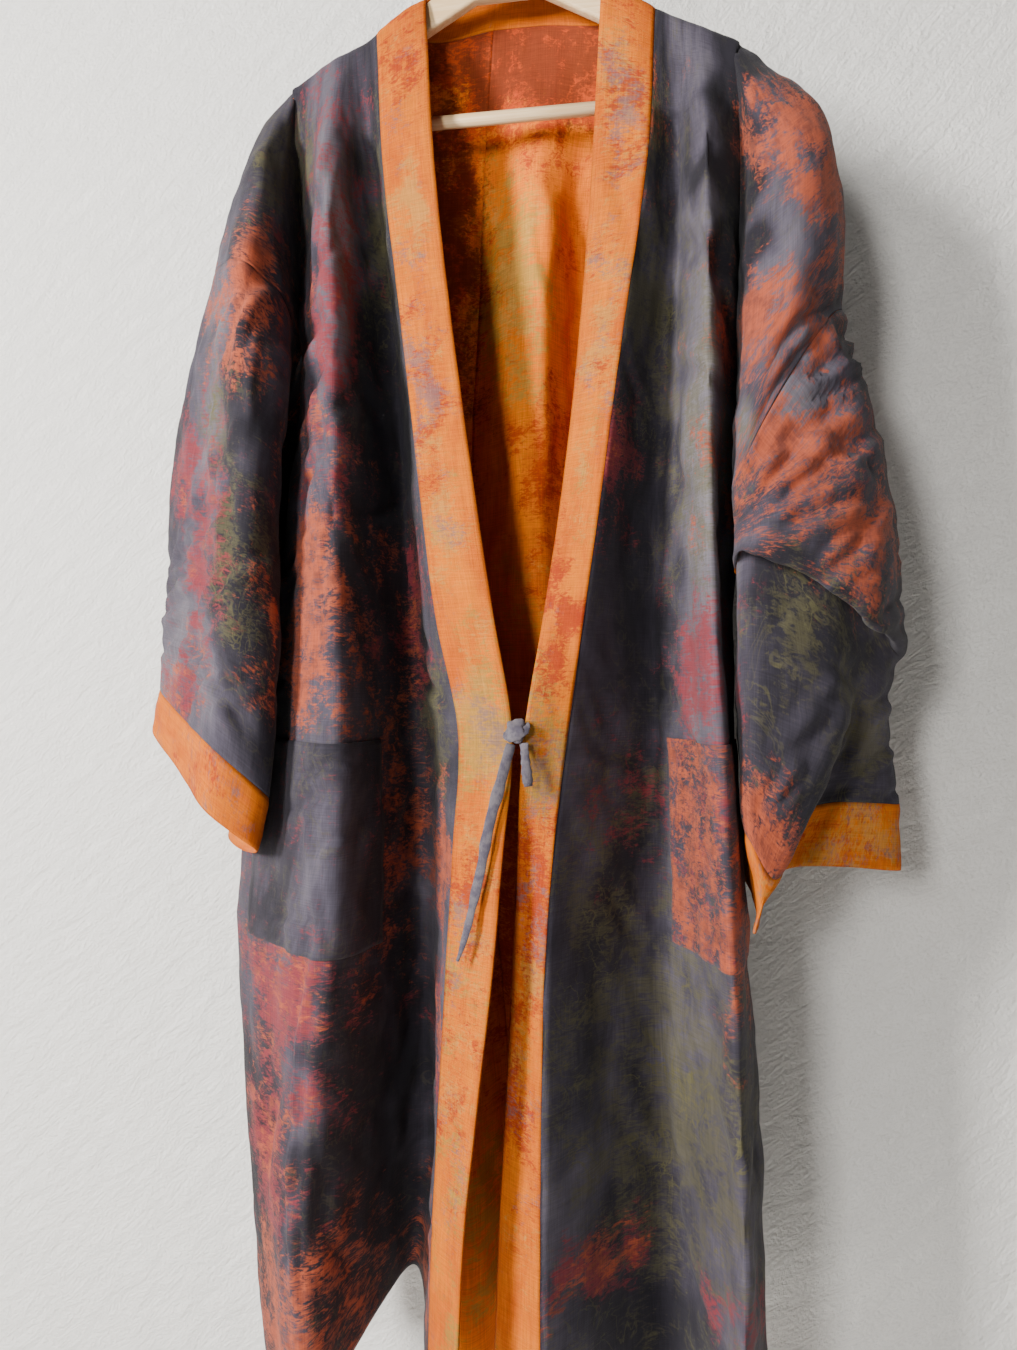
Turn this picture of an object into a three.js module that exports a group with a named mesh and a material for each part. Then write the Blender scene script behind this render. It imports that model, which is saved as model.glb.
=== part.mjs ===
// Cotton yukata robe hanging open on a wooden hanger.
// Millimetres, +Z up, the front faces -Y. The origin is the inside top of the hanger's hook.
// Left and right are as seen from the front. Every cloth piece is a thin wall on one shared
// set of fold lines, so neighbours meet edge to edge along their seams.
import * as THREE from 'three';
import { mergeVertices } from 'three/addons/utils/BufferGeometryUtils.js';

// ---- driving dimensions ----
const clothThickness = 1.6;
const bandThickness = 3;
const seamGap = 0.3;
const creaseInset = 0.13; // drawn in more where a seam runs along a crease
const sharpSeamInset = 1.5; // extra room where the cloths of a seam face different ways
const shoulderApex = -85.5; // height at which the two shoulder lines would meet
const shoulderSlope = 0.55; // fall of the shoulder line for each millimetre across
const armClearance = 4; // from the hanger's top edge up to the middle of the cloth
const foldStart = -300; // below this height the folds hang free
const lastHeight = -1200; // from here down each fold runs to its own hem
const levelHem = -1320; // hem height that the rows are spaced for
const armRound = 2.5; // how quickly cloth turns over the hanger's arm
const railGap = 9.5; // from the hanger's middle plane to the cloth that hangs outside it
const railFoot = -254; // the folds may come inside the hanger's thickness below this height

const armHalfDepth = 6;
const armHeight = 28;
const armReach = 200;
const railRadius = 6;
const railHeight = -241;
const railHalfLength = 166;
const hookWire = 1.75;
const hookInside = 21; // inside radius of the hook's round
const ferruleRadius = 6;
const ferruleHeight = 7;

const tieWidth = 10;
const tieThickness = 2.6;

// ---- fold lines of the body ----
// Each row is one fold line of a panel, from the shoulder or neck to the hem.
// x and y are listed at these heights: top, -300, -400 ... -1200, hem.
const heights = [-300, -400, -500, -600, -700, -800, -900, -1000, -1100, -1200];

const leftFrontFolds = [
  { name: 'bandInner', hem: -1372, x: [-76, -60, -46, -31, -15, 2, 20, 13, 5, -6, -16, -23],
    y: [-9.5, -38, -56, -67, -77, -86, -97, -103, -110, -115, -118, -118] },
  { name: 'bandSeam', hem: -1372, x: [-122, -110, -94, -79, -65, -50, -28, -33, -39, -45, -50, -56],
    y: [-9.5, -25, -42, -55, -65, -74, -82, -82, -81, -80, -80, -80] },
  { name: 'valley', hem: -1318, x: [-139, -126, -112, -105, -100, -95, -91, -88, -87, -86, -87, -98],
    y: [-9.5, 1, 1, 3, 6, 10, 14, 18, 22, 26, 30, 34] },
  { name: 'ridge', hem: -1372, x: [-160, -156, -146, -139, -135, -131, -128, -129, -136, -146, -156, -154],
    y: [-9.5, -50, -71, -84, -93, -100, -104, -105, -105, -105, -105, -105] },
  { name: 'hollow', hem: -1378, x: [-184, -181, -176, -176, -180, -184, -188, -196, -203, -206, -208, -202],
    y: [-9.5, -26, -37, -45, -52, -56, -58, -58, -58, -58, -58, -58] },
  { name: 'side', hem: -1380, x: [-203, -202, -201, -203, -219, -233, -246, -262, -265, -259, -251, -238],
    y: [-9.5, 4, 4, 8, 12, 14, 15, 15, 15, 15, 15, 15] },
];

const rightFrontFolds = [
  { name: 'bandInner', hem: -1385, x: [86, 78, 72, 64, 54, 42, 30, 21, 14, 9, 4, -3],
    y: [-9.5, -14, -22, -32, -46, -66, -97, -74, -60, -58, -60, -62] },
  { name: 'bandSeam', hem: -1385, x: [133, 127, 115, 102, 90, 77, 64, 52, 45, 43, 42, 42],
    y: [-9.5, -25, -42, -55, -65, -75, -83, -85, -87, -88, -90, -90] },
  { name: 'valley', hem: -1385, x: [150, 149, 144, 138, 134, 131, 131, 132, 133, 136, 140, 145],
    y: [-9.5, 1, 1, 4, 8, 11, 14, 18, 22, 26, 29, 31] },
  { name: 'ridge', hem: -1385, x: [172, 177, 178, 178, 179, 182, 187, 192, 198, 203, 206, 207],
    y: [-9.5, -44, -70, -86, -94, -99, -100, -98, -94, -91, -90, -90] },
  { name: 'hollow', hem: -1382, x: [188, 196, 197, 194, 188, 189, 196, 204, 211, 216, 220, 222],
    y: [-9.5, -20, -32, -40, -44, -45, -44, -41, -38, -36, -36, -36] },
  { name: 'side', hem: -1380, x: [203, 207, 204, 204, 206, 200, 202, 206, 211, 218, 225, 230],
    y: [-9.5, 4, 4, 4, 5, 8, 12, 15, 15, 15, 15, 15] },
];

// Back panels run from the centre back to the side. neck rows also give the height of the
// neckline, and inner is where the collar band's top edge stands behind that fold.
const leftBackFolds = [
  { name: 'centreBack', hem: -1396, neck: -141, inner: [-16, 36, -92],
    x: [-20, -36, -40, -46, -47, -44, -38, -31, -23, -14, -6, 0],
    y: [32, 60, 62, 62, 62, 62, 64, 68, 70, 70, 65, 58] },
  { name: 'innerValley', hem: -1396, neck: -153, inner: [-58, 25, -104],
    x: [-75, -82, -86, -88, -87, -84, -79, -72, -64, -55, -46, -37],
    y: [22, 52, 58, 58, 54, 47, 38, 28, 16, 3, -11, -24] },
  { name: 'neckTurn', hem: -1325, neck: -146, inner: [-72, 13, -112],
    x: [-104, -112, -118, -122, -124, -124, -122, -120, -118, -115, -111, -106],
    y: [14, 82, 100, 107, 109, 109, 107, 104, 100, 95, 89, 82] },
  { name: 'shoulderNeck', hem: -1338,
    x: [-122, -150, -158, -160, -162, -164, -165, -166, -166, -165, -163, -160],
    y: [9.5, 46, 52, 56, 58, 60, 60, 60, 60, 60, 60, 58] },
  { name: 'outerRidge', hem: -1384,
    x: [-165, -178, -178, -183, -200, -216, -225, -230, -229, -224, -217, -208],
    y: [9.5, 60, 78, 88, 93, 96, 97, 96, 94, 92, 90, 86] },
  { name: 'side', hem: -1380, x: [-203, -202, -200, -203, -219, -233, -246, -262, -265, -259, -251, -238],
    y: [9.5, 15, 11, 8, 12, 14, 15, 15, 15, 15, 15, 15] },
];

const rightBackFolds = [
  leftBackFolds[0],
  { name: 'innerValley', hem: -1396, neck: -141, inner: [28, 37, -92],
    x: [30, 28, 29, 28, 28, 30, 33, 36, 38, 40, 42, 44],
    y: [33, 28, 14, 6, 2, 2, 8, 18, 28, 36, 40, 40] },
  { name: 'innerRidge', hem: -1396, neck: -153, inner: [66, 25, -107],
    x: [85, 60, 58, 60, 63, 67, 70, 73, 76, 79, 82, 85],
    y: [22, 56, 60, 62, 64, 66, 70, 76, 82, 88, 92, 92] },
  { name: 'neckTurn', hem: -1392, neck: -151, inner: [84, 13, -117],
    x: [114, 99, 100, 102, 105, 108, 112, 115, 118, 121, 124, 126],
    y: [14, 58, 61, 63, 63, 62, 61, 60, 59, 58, 58, 58] },
  { name: 'shoulderNeck', hem: -1388, x: [133, 138, 144, 148, 151, 154, 158, 161, 165, 168, 171, 173],
    y: [9.5, 76, 95, 103, 107, 108, 108, 107, 106, 105, 103, 100] },
  { name: 'outerValley', hem: -1384, x: [168, 178, 182, 184, 186, 190, 194, 198, 202, 206, 210, 213],
    y: [9.5, 50, 56, 60, 63, 66, 68, 70, 71, 72, 72, 70] },
  { name: 'side', hem: -1380, x: [203, 206, 205, 205, 206, 200, 202, 206, 211, 218, 225, 230],
    y: [9.5, 15, 12, 10, 5, 8, 12, 15, 15, 15, 15, 15] },
];

// ---- sleeves ----
// Named lines round a sleeve: under (underarm seam), frontIn, front (front ridge), frontOut,
// top (top fold), backOut, back (back ridge), backIn. Each section gives [x, y, z] on each line.
const sleeveLines = ['under', 'frontIn', 'front', 'frontOut', 'top', 'backOut', 'back', 'backIn'];

// The shoulder cap fans out from the hanger's end down to the armhole. share is how far down
// from the hanger's end to the armpit a section lies.
const leftCap = [
  { share: 0.05, frontIn: [-203, -11, -213], front: [-207, -10, -213], frontOut: [-212, -6, -212],
    top: [-214, 0, -210], backOut: [-212, 6, -212], back: [-207, 10, -213], backIn: [-203, 11, -213] },
  { share: 0.2, frontIn: [-206, -26, -256], front: [-214, -38, -256], frontOut: [-228, -26, -250],
    top: [-236, 2, -240], backOut: [-230, 28, -250], back: [-218, 42, -256], backIn: [-209, 30, -256] },
  { share: 0.5, frontIn: [-201, -44, -322], front: [-214, -68, -320], frontOut: [-244, -44, -310],
    top: [-263, 2, -303], backOut: [-250, 50, -310], back: [-224, 74, -320], backIn: [-212, 50, -325] },
];

const leftSleeve = [
  { section: 'armhole', under: [-201, 6, -446], frontIn: [-197, -60, -412], front: [-215, -92, -394],
    frontOut: [-252, -56, -380], top: [-284, 2, -372], backOut: [-262, 58, -378],
    back: [-230, 92, -395], backIn: [-216, 52, -426] },
  { section: 'upper arm', under: [-219, 12, -505], frontIn: [-188, -70, -480],
    front: [-210, -102, -462], frontOut: [-264, -52, -448], top: [-308, 2, -440],
    backOut: [-290, 62, -446], back: [-250, 98, -462], backIn: [-213, 60, -482] },
  { section: 'elbow', under: [-229, 16, -580], frontIn: [-191, -80, -560], front: [-207, -108, -545],
    frontOut: [-274, -50, -530], top: [-326, 2, -520], backOut: [-304, 66, -525],
    back: [-262, 102, -542], backIn: [-220, 64, -562] },
  { section: 'forearm', under: [-252, 24, -660], frontIn: [-190, -82, -640],
    front: [-212, -110, -625], frontOut: [-280, -50, -612], top: [-333, 2, -600],
    backOut: [-312, 68, -606], back: [-273, 104, -624], backIn: [-238, 64, -645] },
  { section: 'above cuff', under: [-270, 29, -745], frontIn: [-188, -85, -725],
    front: [-218, -112, -705], frontOut: [-284, -52, -692], top: [-337, 2, -680],
    backOut: [-320, 66, -686], back: [-286, 102, -704], backIn: [-268, 62, -728] },
  { section: 'cuff seam', under: [-284, 33, -852], frontIn: [-196, -88, -856],
    front: [-234, -110, -815], frontOut: [-290, -58, -790], top: [-343, 2, -764],
    backOut: [-328, 62, -772], back: [-298, 98, -800], backIn: [-280, 62, -828] },
];

const leftCuff = [
  { section: 'cuff middle', under: [-286, 33, -880], frontIn: [-202, -88, -880],
    front: [-238, -110, -842], frontOut: [-294, -56, -813], top: [-348, 2, -784],
    backOut: [-332, 62, -793], back: [-301, 97, -822], backIn: [-282, 62, -852] },
  { section: 'cuff edge', under: [-287, 33, -908], frontIn: [-208, -86, -902],
    front: [-242, -108, -868], frontOut: [-296, -54, -837], top: [-352, 2, -804],
    backOut: [-336, 60, -814], back: [-304, 96, -845], backIn: [-284, 60, -878] },
];

const rightCap = [
  { share: 0.03, frontIn: [204, -11, -213], front: [208, -10, -213], frontOut: [213, -6, -211],
    top: [216, 0, -208], backOut: [213, 6, -211], back: [208, 10, -213], backIn: [204, 11, -213] },
  { share: 0.2, frontIn: [222, -34, -292], front: [240, -40, -286], frontOut: [261, -26, -266],
    top: [266, 0, -250], backOut: [262, 28, -266], back: [242, 42, -288], backIn: [218, 36, -292] },
  { share: 0.5, frontIn: [217, -64, -415], front: [245, -78, -398], frontOut: [282, -42, -350],
    top: [289, 0, -330], backOut: [284, 42, -352], back: [250, 78, -400], backIn: [214, 56, -415] },
];

const rightSleeve = [
  { section: 'armhole', under: [206, 5, -600], frontIn: [198, -108, -600], front: [222, -106, -550],
    frontOut: [276, -52, -459], top: [294, 0, -439], backOut: [282, 50, -465],
    back: [246, 88, -530], backIn: [214, 55, -583] },
  { section: 'upper arm', under: [217, 8, -640], frontIn: [204, -120, -628],
    front: [258, -114, -598], frontOut: [304, -64, -548], top: [314, 0, -522],
    backOut: [300, 62, -545], back: [262, 98, -588], backIn: [218, 60, -625] },
  { section: 'elbow', under: [217, 10, -672], frontIn: [205, -125, -645], front: [266, -123, -642],
    frontOut: [318, -76, -628], top: [329, 0, -610], backOut: [312, 66, -622],
    back: [272, 102, -645], backIn: [217, 62, -662] },
  { section: 'fold edge', under: [214, 12, -702], frontIn: [203, -120, -655],
    front: [256, -124, -679], frontOut: [306, -98, -714], top: [341, -6, -722],
    backOut: [321, 66, -712], back: [281, 104, -708], backIn: [212, 64, -704] },
  { section: 'fold inside', under: [214, 12, -724], frontIn: [206, -106, -638],
    front: [252, -109, -656], frontOut: [294, -84, -690], top: [337, -2, -742],
    backOut: [321, 66, -736], back: [281, 103, -732], backIn: [212, 64, -728] },
  { section: 'below fold', under: [213, 12, -758], frontIn: [206, -101, -690],
    front: [270, -93, -712], frontOut: [300, -52, -738], top: [333, 14, -768],
    backOut: [319, 68, -766], back: [279, 102, -764], backIn: [212, 64, -762] },
  { section: 'forearm', under: [213, 14, -808], frontIn: [207, -95, -770], front: [281, -73, -798],
    frontOut: [291, -22, -800], top: [337, 20, -806], backOut: [319, 72, -806],
    back: [277, 102, -808], backIn: [211, 64, -810] },
  { section: 'cuff seam', under: [216, 20, -892], frontIn: [209, -92, -880],
    front: [229, -94, -912], frontOut: [266, -18, -864], top: [344, 20, -864],
    backOut: [322, 76, -866], back: [274, 104, -872], backIn: [213, 66, -883] },
];

const rightCuff = [
  { section: 'cuff middle', under: [217, 21, -920], frontIn: [214, -86, -916],
    front: [220, -96, -932], frontOut: [254, -18, -891], top: [345, 20, -893],
    backOut: [323, 77, -895], back: [274, 105, -900], backIn: [214, 67, -910] },
  { section: 'cuff edge', under: [218, 22, -948], frontIn: [217, -80, -950],
    front: [213, -98, -954], frontOut: [243, -18, -918], top: [345, 20, -922],
    backOut: [323, 78, -924], back: [274, 106, -928], backIn: [215, 68, -937] },
];

// ---- how finely each stretch is cut ----
const frontSteps = { band: 2, panel: [3, 4, 2, 2] };
const leftBackSteps = [3, 3, 2, 2, 3];
const rightBackSteps = [2, 3, 2, 2, 2, 3];
const lineSteps = 2; // steps between neighbouring lines round a sleeve
const shoulderRows = [0, 0.015, 0.05, 0.13, 0.35, 0.65];
const freeRows = [-300, -350, -400, -446, -500, -550, -600, -650, -700, -755, -808,
  -870, -930, -990, -1050, -1115, -1180, -1250, -1320];
const leftArmpit = -446;
const rightArmpit = -600;
const pocketTop = -808;
const pocketBottom = -990;

// ---- small vector helpers ----
const add = (a, b) => a.map((value, i) => value + b[i]);
const subtract = (a, b) => a.map((value, i) => value - b[i]);
const scale = (a, factor) => a.map((value) => value * factor);
const mix = (a, b, t) => a.map((value, i) => value + (b[i] - value) * t);
const length = (a) => Math.hypot(...a);
const unit = (a) => scale(a, 1 / (length(a) || 1));
const dot = (a, b) => a.reduce((sum, value, i) => sum + value * b[i], 0);
const cross = (a, b) => [
  a[1] * b[2] - a[2] * b[1],
  a[2] * b[0] - a[0] * b[2],
  a[0] * b[1] - a[1] * b[0],
];

// Smooth curve through points at the given knots: value at knot position t.
function splineAt(knots, points, t) {
  const last = knots.length - 1;
  let i = 0;
  while (i < last - 1 && t > knots[i + 1]) i += 1;
  const slope = (k) => {
    const chord = (a, b) => scale(subtract(points[b], points[a]), 1 / (knots[b] - knots[a]));
    if (k === 0) return chord(0, 1);
    if (k === last) return chord(last - 1, last);
    const before = knots[k] - knots[k - 1];
    const after = knots[k + 1] - knots[k];
    return mix(chord(k - 1, k), chord(k, k + 1), before / (before + after));
  };
  const span = knots[i + 1] - knots[i];
  const f = (t - knots[i]) / span;
  const start = add(scale(points[i], 2 * f ** 3 - 3 * f ** 2 + 1),
    scale(slope(i), span * (f ** 3 - 2 * f ** 2 + f)));
  const end = add(scale(points[i + 1], 3 * f ** 2 - 2 * f ** 3),
    scale(slope(i + 1), span * (f ** 3 - f ** 2)));
  return add(start, end);
}

// Smooth curve across a section: the point a fraction f along stretch k.
function sectionCurve(points, closed = false) {
  const count = points.length;
  const all = closed
    ? [points[count - 2], points[count - 1], ...points, points[0], points[1], points[2]]
    : points;
  const skip = closed ? 2 : 0;
  const knots = [0];
  for (let i = 1; i < all.length; i += 1) {
    knots.push(knots[i - 1] + Math.sqrt(length(subtract(all[i], all[i - 1])) + 0.01));
  }
  return (k, f) => splineAt(knots, all, knots[k + skip] * (1 - f) + knots[k + skip + 1] * f);
}

// ---- body sections ----
const shoulderHeight = (x) => shoulderApex - shoulderSlope * Math.abs(x);

const rowAt = (z) => 1 + (foldStart - z) / (foldStart - levelHem);

// One fold line at row s: 0 is its top edge, 1 the height foldStart and 2 the hem.
function foldPoint(fold, s) {
  const top = fold.neck ?? shoulderHeight(fold.x[0]);
  const level = foldStart + (levelHem - foldStart) * (s - 1);
  const toHem = (level - lastHeight) / (levelHem - lastHeight);
  const free = level > lastHeight ? level : lastHeight + (fold.hem - lastHeight) * toHem;
  const z = s < 1 ? top + (foldStart - top) * s : free;
  const knots = [top, ...heights, fold.hem].map((height) => -height);
  const [x] = splineAt(knots, fold.x.map((value) => [value]), -z);
  const [y] = splineAt(knots, fold.y.map((value) => [value]), -z);
  if (fold.neck !== undefined) return [x, y, z];
  const outside = Math.sign(fold.y[0]);
  const gap = z > railFoot ? railGap : railGap + (z - railFoot);
  const clear = outside * Math.max(outside * y, gap);
  return [x, clear * (1 - Math.exp((z - top) / armRound)), z];
}

const rows = [...shoulderRows, ...freeRows.map(rowAt)];

const halves = {
  left: { front: leftFrontFolds, back: leftBackFolds, backSteps: leftBackSteps,
    cap: leftCap, sleeve: leftSleeve, cuff: leftCuff, armpit: rowAt(leftArmpit), flip: false },
  right: { front: rightFrontFolds, back: rightBackFolds, backSteps: rightBackSteps,
    cap: rightCap, sleeve: rightSleeve, cuff: rightCuff, armpit: rowAt(rightArmpit), flip: true },
};

// The back edge of the armhole valley closes on the front edge as it nears the armpit.
function backSide(half, s) {
  const apart = Math.min(Math.max((half.armpit - s) / 0.15, 0), 1);
  return mix(foldPoint(half.front.at(-1), s), foldPoint(half.back.at(-1), s), apart);
}

// Row s of a body half, as one curve from the band's free edge round to the centre back below
// the armpit, and as two curves that stop at the armhole valley above it.
function bodyRow(half, s) {
  const front = half.front.map((fold) => foldPoint(fold, s));
  const back = [backSide(half, s),
    ...half.back.slice(0, -1).map((fold) => foldPoint(fold, s)).reverse()];
  const band = [front[0], front[1]];
  if (s < half.armpit - 1e-6) {
    const curve = sectionCurve(back);
    const straight = (k) => s === 0 && half.back.at(-2 - k).neck === undefined;
    return {
      band: sectionCurve(band),
      front: sectionCurve(front.slice(1)),
      back: (k, f) => (straight(k) ? mix(back[k], back[k + 1], f) : curve(k, f)),
    };
  }
  const side = front.length - 2;
  const round = sectionCurve([...front.slice(1), ...back.slice(1)]);
  return { band: sectionCurve(band), front: round, back: (k, f) => round(k + side, f) };
}

// Row s of the shoulder cap, from the front valley over the top to the back valley.
function capRow(half, s) {
  const front = foldPoint(half.front.at(-1), s);
  const back = backSide(half, s);
  const end = foldPoint(half.front.at(-1), 0);
  const armhole = half.sleeve[0];
  const share = (end[2] - front[2]) / (end[2] - armhole.under[2]);
  const knots = [0, ...half.cap.map((section) => section.share), 1];
  const lines = sleeveLines.slice(1).map((line) => splineAt(knots,
    [end, ...half.cap.map((section) => section[line]), armhole[line]], Math.min(share, 1)));
  return sectionCurve([front, ...lines, back]);
}

// ---- the cloth: shared points, and four-cornered cells for each piece ----
const points = [];
const pointIndex = new Map();
const pieces = {};

function pointId(point) {
  const key = point.map((value) => Math.round(value * 1000)).join();
  if (!pointIndex.has(key)) {
    pointIndex.set(key, points.length);
    points.push(point);
  }
  return pointIndex.get(key);
}

// Adds a grid of cells to a piece; columns[j] lists the points of row j.
function addGrid(piece, gridRows, flip = false) {
  const ids = gridRows.map((row) => row.map(pointId));
  const cells = pieces[piece] ??= [];
  for (let j = 0; j + 1 < ids.length; j += 1) {
    for (let i = 0; i + 1 < ids[j].length; i += 1) {
      const cell = [ids[j][i], ids[j + 1][i], ids[j + 1][i + 1], ids[j][i + 1]].reverse();
      const corners = cell.filter((id, k) => id !== cell[(k + 1) % 4]);
      if (corners.length > 2) cells.push(flip ? corners.reverse() : corners);
    }
  }
  return ids;
}

// Samples a section curve over stretches, with so many steps in each.
function sample(curve, steps, firstStretch = 0) {
  const row = [];
  steps.forEach((count, k) => {
    for (let i = 0; i < count; i += 1) row.push(curve(k + firstStretch, i / count));
  });
  row.push(curve(steps.length - 1 + firstStretch, 1));
  return row;
}

const grids = {};
for (const [name, half] of Object.entries(halves)) {
  const bodyRows = rows.map((s) => bodyRow(half, s));
  grids[name] = addGrid(`${name}_front`,
    bodyRows.map((row) => sample(row.front, frontSteps.panel)), half.flip);
  addGrid(`${name}_back`, bodyRows.map((row) => sample(row.back, half.backSteps)), half.flip);
  addGrid('collar_band', bodyRows.map((row) => sample(row.band, [frontSteps.band])), half.flip);

  const capRows = rows.filter((s) => s <= half.armpit + 1e-6).map((s) => capRow(half, s));
  const quarter = Array(4).fill(lineSteps);
  addGrid(`${name}_front`, capRows.map((row) => sample(row, quarter)), half.flip);
  addGrid(`${name}_back`, capRows.map((row) => sample(row, quarter, 4)), half.flip);

  // The first sleeve section is the armhole, exactly as the cap ends.
  const ring = (section) => {
    const curve = sectionCurve(sleeveLines.map((line) => section[line]), true);
    return sample(curve, Array(8).fill(lineSteps));
  };
  const rings = [...half.sleeve.slice(1), ...half.cuff].map(ring);
  const armholeRing = sample(capRows.at(-1), Array(8).fill(lineSteps));
  const seam = half.sleeve.length - 1;
  addGrid(`${name}_sleeve`, [armholeRing, ...rings.slice(0, seam)], half.flip);
  addGrid(`${name}_cuff`, rings.slice(seam - 1), half.flip);
}

// The collar band behind the neck: from the back panels' neck edges up to its own top edge.
for (const [name, half] of Object.entries(halves)) {
  const neckFolds = half.back.filter((fold) => fold.neck !== undefined);
  const stretches = neckFolds.length;
  const shoulderInner = foldPoint(half.front[0], 0);
  const inner = sectionCurve([shoulderInner, ...neckFolds.map((fold) => fold.inner).reverse()]);
  const seam = bodyRow(half, 0).back;
  const skipped = half.back.length - 1 - stretches;
  const steps = [...half.backSteps].reverse().slice(skipped);
  const seamRow = sample(seam, steps, skipped);
  const innerRow = sample(inner, steps);
  const across = [0, 0.5, 1].map((t) => innerRow.map((point, i) => mix(point, seamRow[i], t)));
  addGrid('collar_band', across, half.flip);
}

// ---- walls ----
// Outward normal at every shared point, over all pieces that meet there.
const normals = points.map(() => [0, 0, 0]);
const facingSums = points.map(() => 0);
for (const cells of Object.values(pieces)) {
  for (const cell of cells) {
    const [a, b, c, d = cell[0]] = cell;
    const normal = cross(subtract(points[c], points[a]), subtract(points[d], points[b]));
    const facing = cell.length === 3
      ? cross(subtract(points[b], points[a]), subtract(points[c], points[a])) : normal;
    for (const id of cell) {
      normals[id] = add(normals[id], facing);
      facingSums[id] += length(facing);
    }
  }
}

// Front and back lean together along the shoulder, so they share its upward normal.
points.forEach(([x, y, z], id) => {
  if (Math.abs(y) < 1e-6 && Math.abs(z - shoulderHeight(x)) < 1e-3) {
    normals[id] = scale(unit([Math.sign(x) * shoulderSlope, 0, 1]), facingSums[id]);
  }
});

function triangles(cell) {
  if (cell.length === 3) return [cell];
  const [a, b, c, d] = cell;
  const first = length(subtract(points[a], points[c]));
  const second = length(subtract(points[b], points[d]));
  return first <= second ? [[a, b, c], [a, c, d]] : [[b, c, d], [b, d, a]];
}

// How far a piece is drawn in at a point of its border.
function seamInset(id, thickness) {
  const agreement = Math.min(length(normals[id]) / facingSums[id], 1);
  return seamGap / 2 + creaseInset * (thickness / clothThickness) + sharpSeamInset * (1 - agreement);
}

// Closed wall on a set of cells: thick, raised off the middle of the cloth by lift, and drawn
// in at its border.
function clothWall(cells, thickness, lift = 0) {
  const edges = new Map();
  for (const cell of cells) {
    cell.forEach((id, k) => edges.set(`${id},${cell[(k + 1) % cell.length]}`, { cell, id }));
  }
  const border = [...edges].filter(([key]) => !edges.has(key.split(',').reverse().join()))
    .map(([key, { cell }]) => [...key.split(',').map(Number), cell]);
  const inward = new Map();
  for (const [a, b, cell] of border) {
    const middle = mix(points[a], points[b], 0.5);
    const centre = scale(cell.reduce((sum, id) => add(sum, points[id]), [0, 0, 0]), 1 / cell.length);
    const along = unit(subtract(points[b], points[a]));
    const toCentre = subtract(centre, middle);
    const inside = unit(subtract(toCentre, scale(along, dot(toCentre, along))));
    for (const id of [a, b]) inward.set(id, add(inward.get(id) ?? [0, 0, 0], inside));
  }
  const used = [...new Set(cells.flat())];
  const order = new Map(used.map((id, i) => [id, i]));
  const layer = (distance) => used.flatMap((id) => {
    const moved = add(points[id], scale(unit(normals[id]), distance));
    return inward.has(id) ? add(moved, scale(unit(inward.get(id)), seamInset(id, thickness))) : moved;
  });
  const half = thickness / 2;
  const position = [...layer(lift + half), ...layer(lift - half)];
  const under = used.length;
  const faces = [];
  for (const [a, b, c] of cells.flatMap(triangles)) {
    const [p, q, r] = [a, b, c].map((id) => order.get(id));
    faces.push(p, q, r, r + under, q + under, p + under);
  }
  for (const [a, b] of border) {
    const [p, q] = [order.get(a), order.get(b)];
    faces.push(q, p, p + under, q, p + under, q + under);
  }
  const geometry = new THREE.BufferGeometry();
  geometry.setAttribute('position', new THREE.Float32BufferAttribute(position, 3));
  geometry.setIndex(faces);
  return geometry;
}

// ---- materials ----
const finish = (color, roughness, metalness = 0) =>
  new THREE.MeshStandardMaterial({ color, roughness, metalness });
const darkCotton = () => finish(0x5a5560, 0.85);
const orangeCotton = () => finish(0xd9843c, 0.85);
const tieCotton = () => finish(0x77727f, 0.85);
const paleWood = () => finish(0xe6d2ae, 0.5);
const steel = () => finish(0xb9bcc0, 0.3, 1);

const yukata = new THREE.Group();
function place(name, geometry, material) {
  const mesh = new THREE.Mesh(geometry, material);
  mesh.name = name;
  yukata.add(mesh);
  return mesh;
}

for (const side of ['left', 'right']) {
  const front = pieces[`${side}_front`];
  place(`${side}_front`, clothWall(front, clothThickness), darkCotton());
  const back = pieces[`${side}_back`];
  place(`${side}_back`, clothWall(back, clothThickness), darkCotton());
  const sleeve = pieces[`${side}_sleeve`];
  place(`${side}_sleeve`, clothWall(sleeve, clothThickness), darkCotton());
  const cuff = pieces[`${side}_cuff`];
  place(`${side}_cuff`, clothWall(cuff, clothThickness), orangeCotton());
}
place('collar_band', clothWall(pieces.collar_band, bandThickness), orangeCotton());

// Patch pockets lie on the fronts' own cells, moved out. Columns count from the band seam.
const pocketColumns = { left: [5, 10], right: [4, 10] };
for (const [side, [first, last]] of Object.entries(pocketColumns)) {
  const ids = grids[side];
  const top = shoulderRows.length + freeRows.indexOf(pocketTop);
  const bottom = shoulderRows.length + freeRows.indexOf(pocketBottom);
  const cells = [];
  for (let j = top; j < bottom; j += 1) {
    for (let i = first; i < last; i += 1) {
      const cell = [ids[j][i], ids[j + 1][i], ids[j + 1][i + 1], ids[j][i + 1]].reverse();
      cells.push(halves[side].flip ? cell.reverse() : cell);
    }
  }
  place(`${side}_pocket`, clothWall(cells, clothThickness, clothThickness + seamGap), darkCotton());
}

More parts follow.
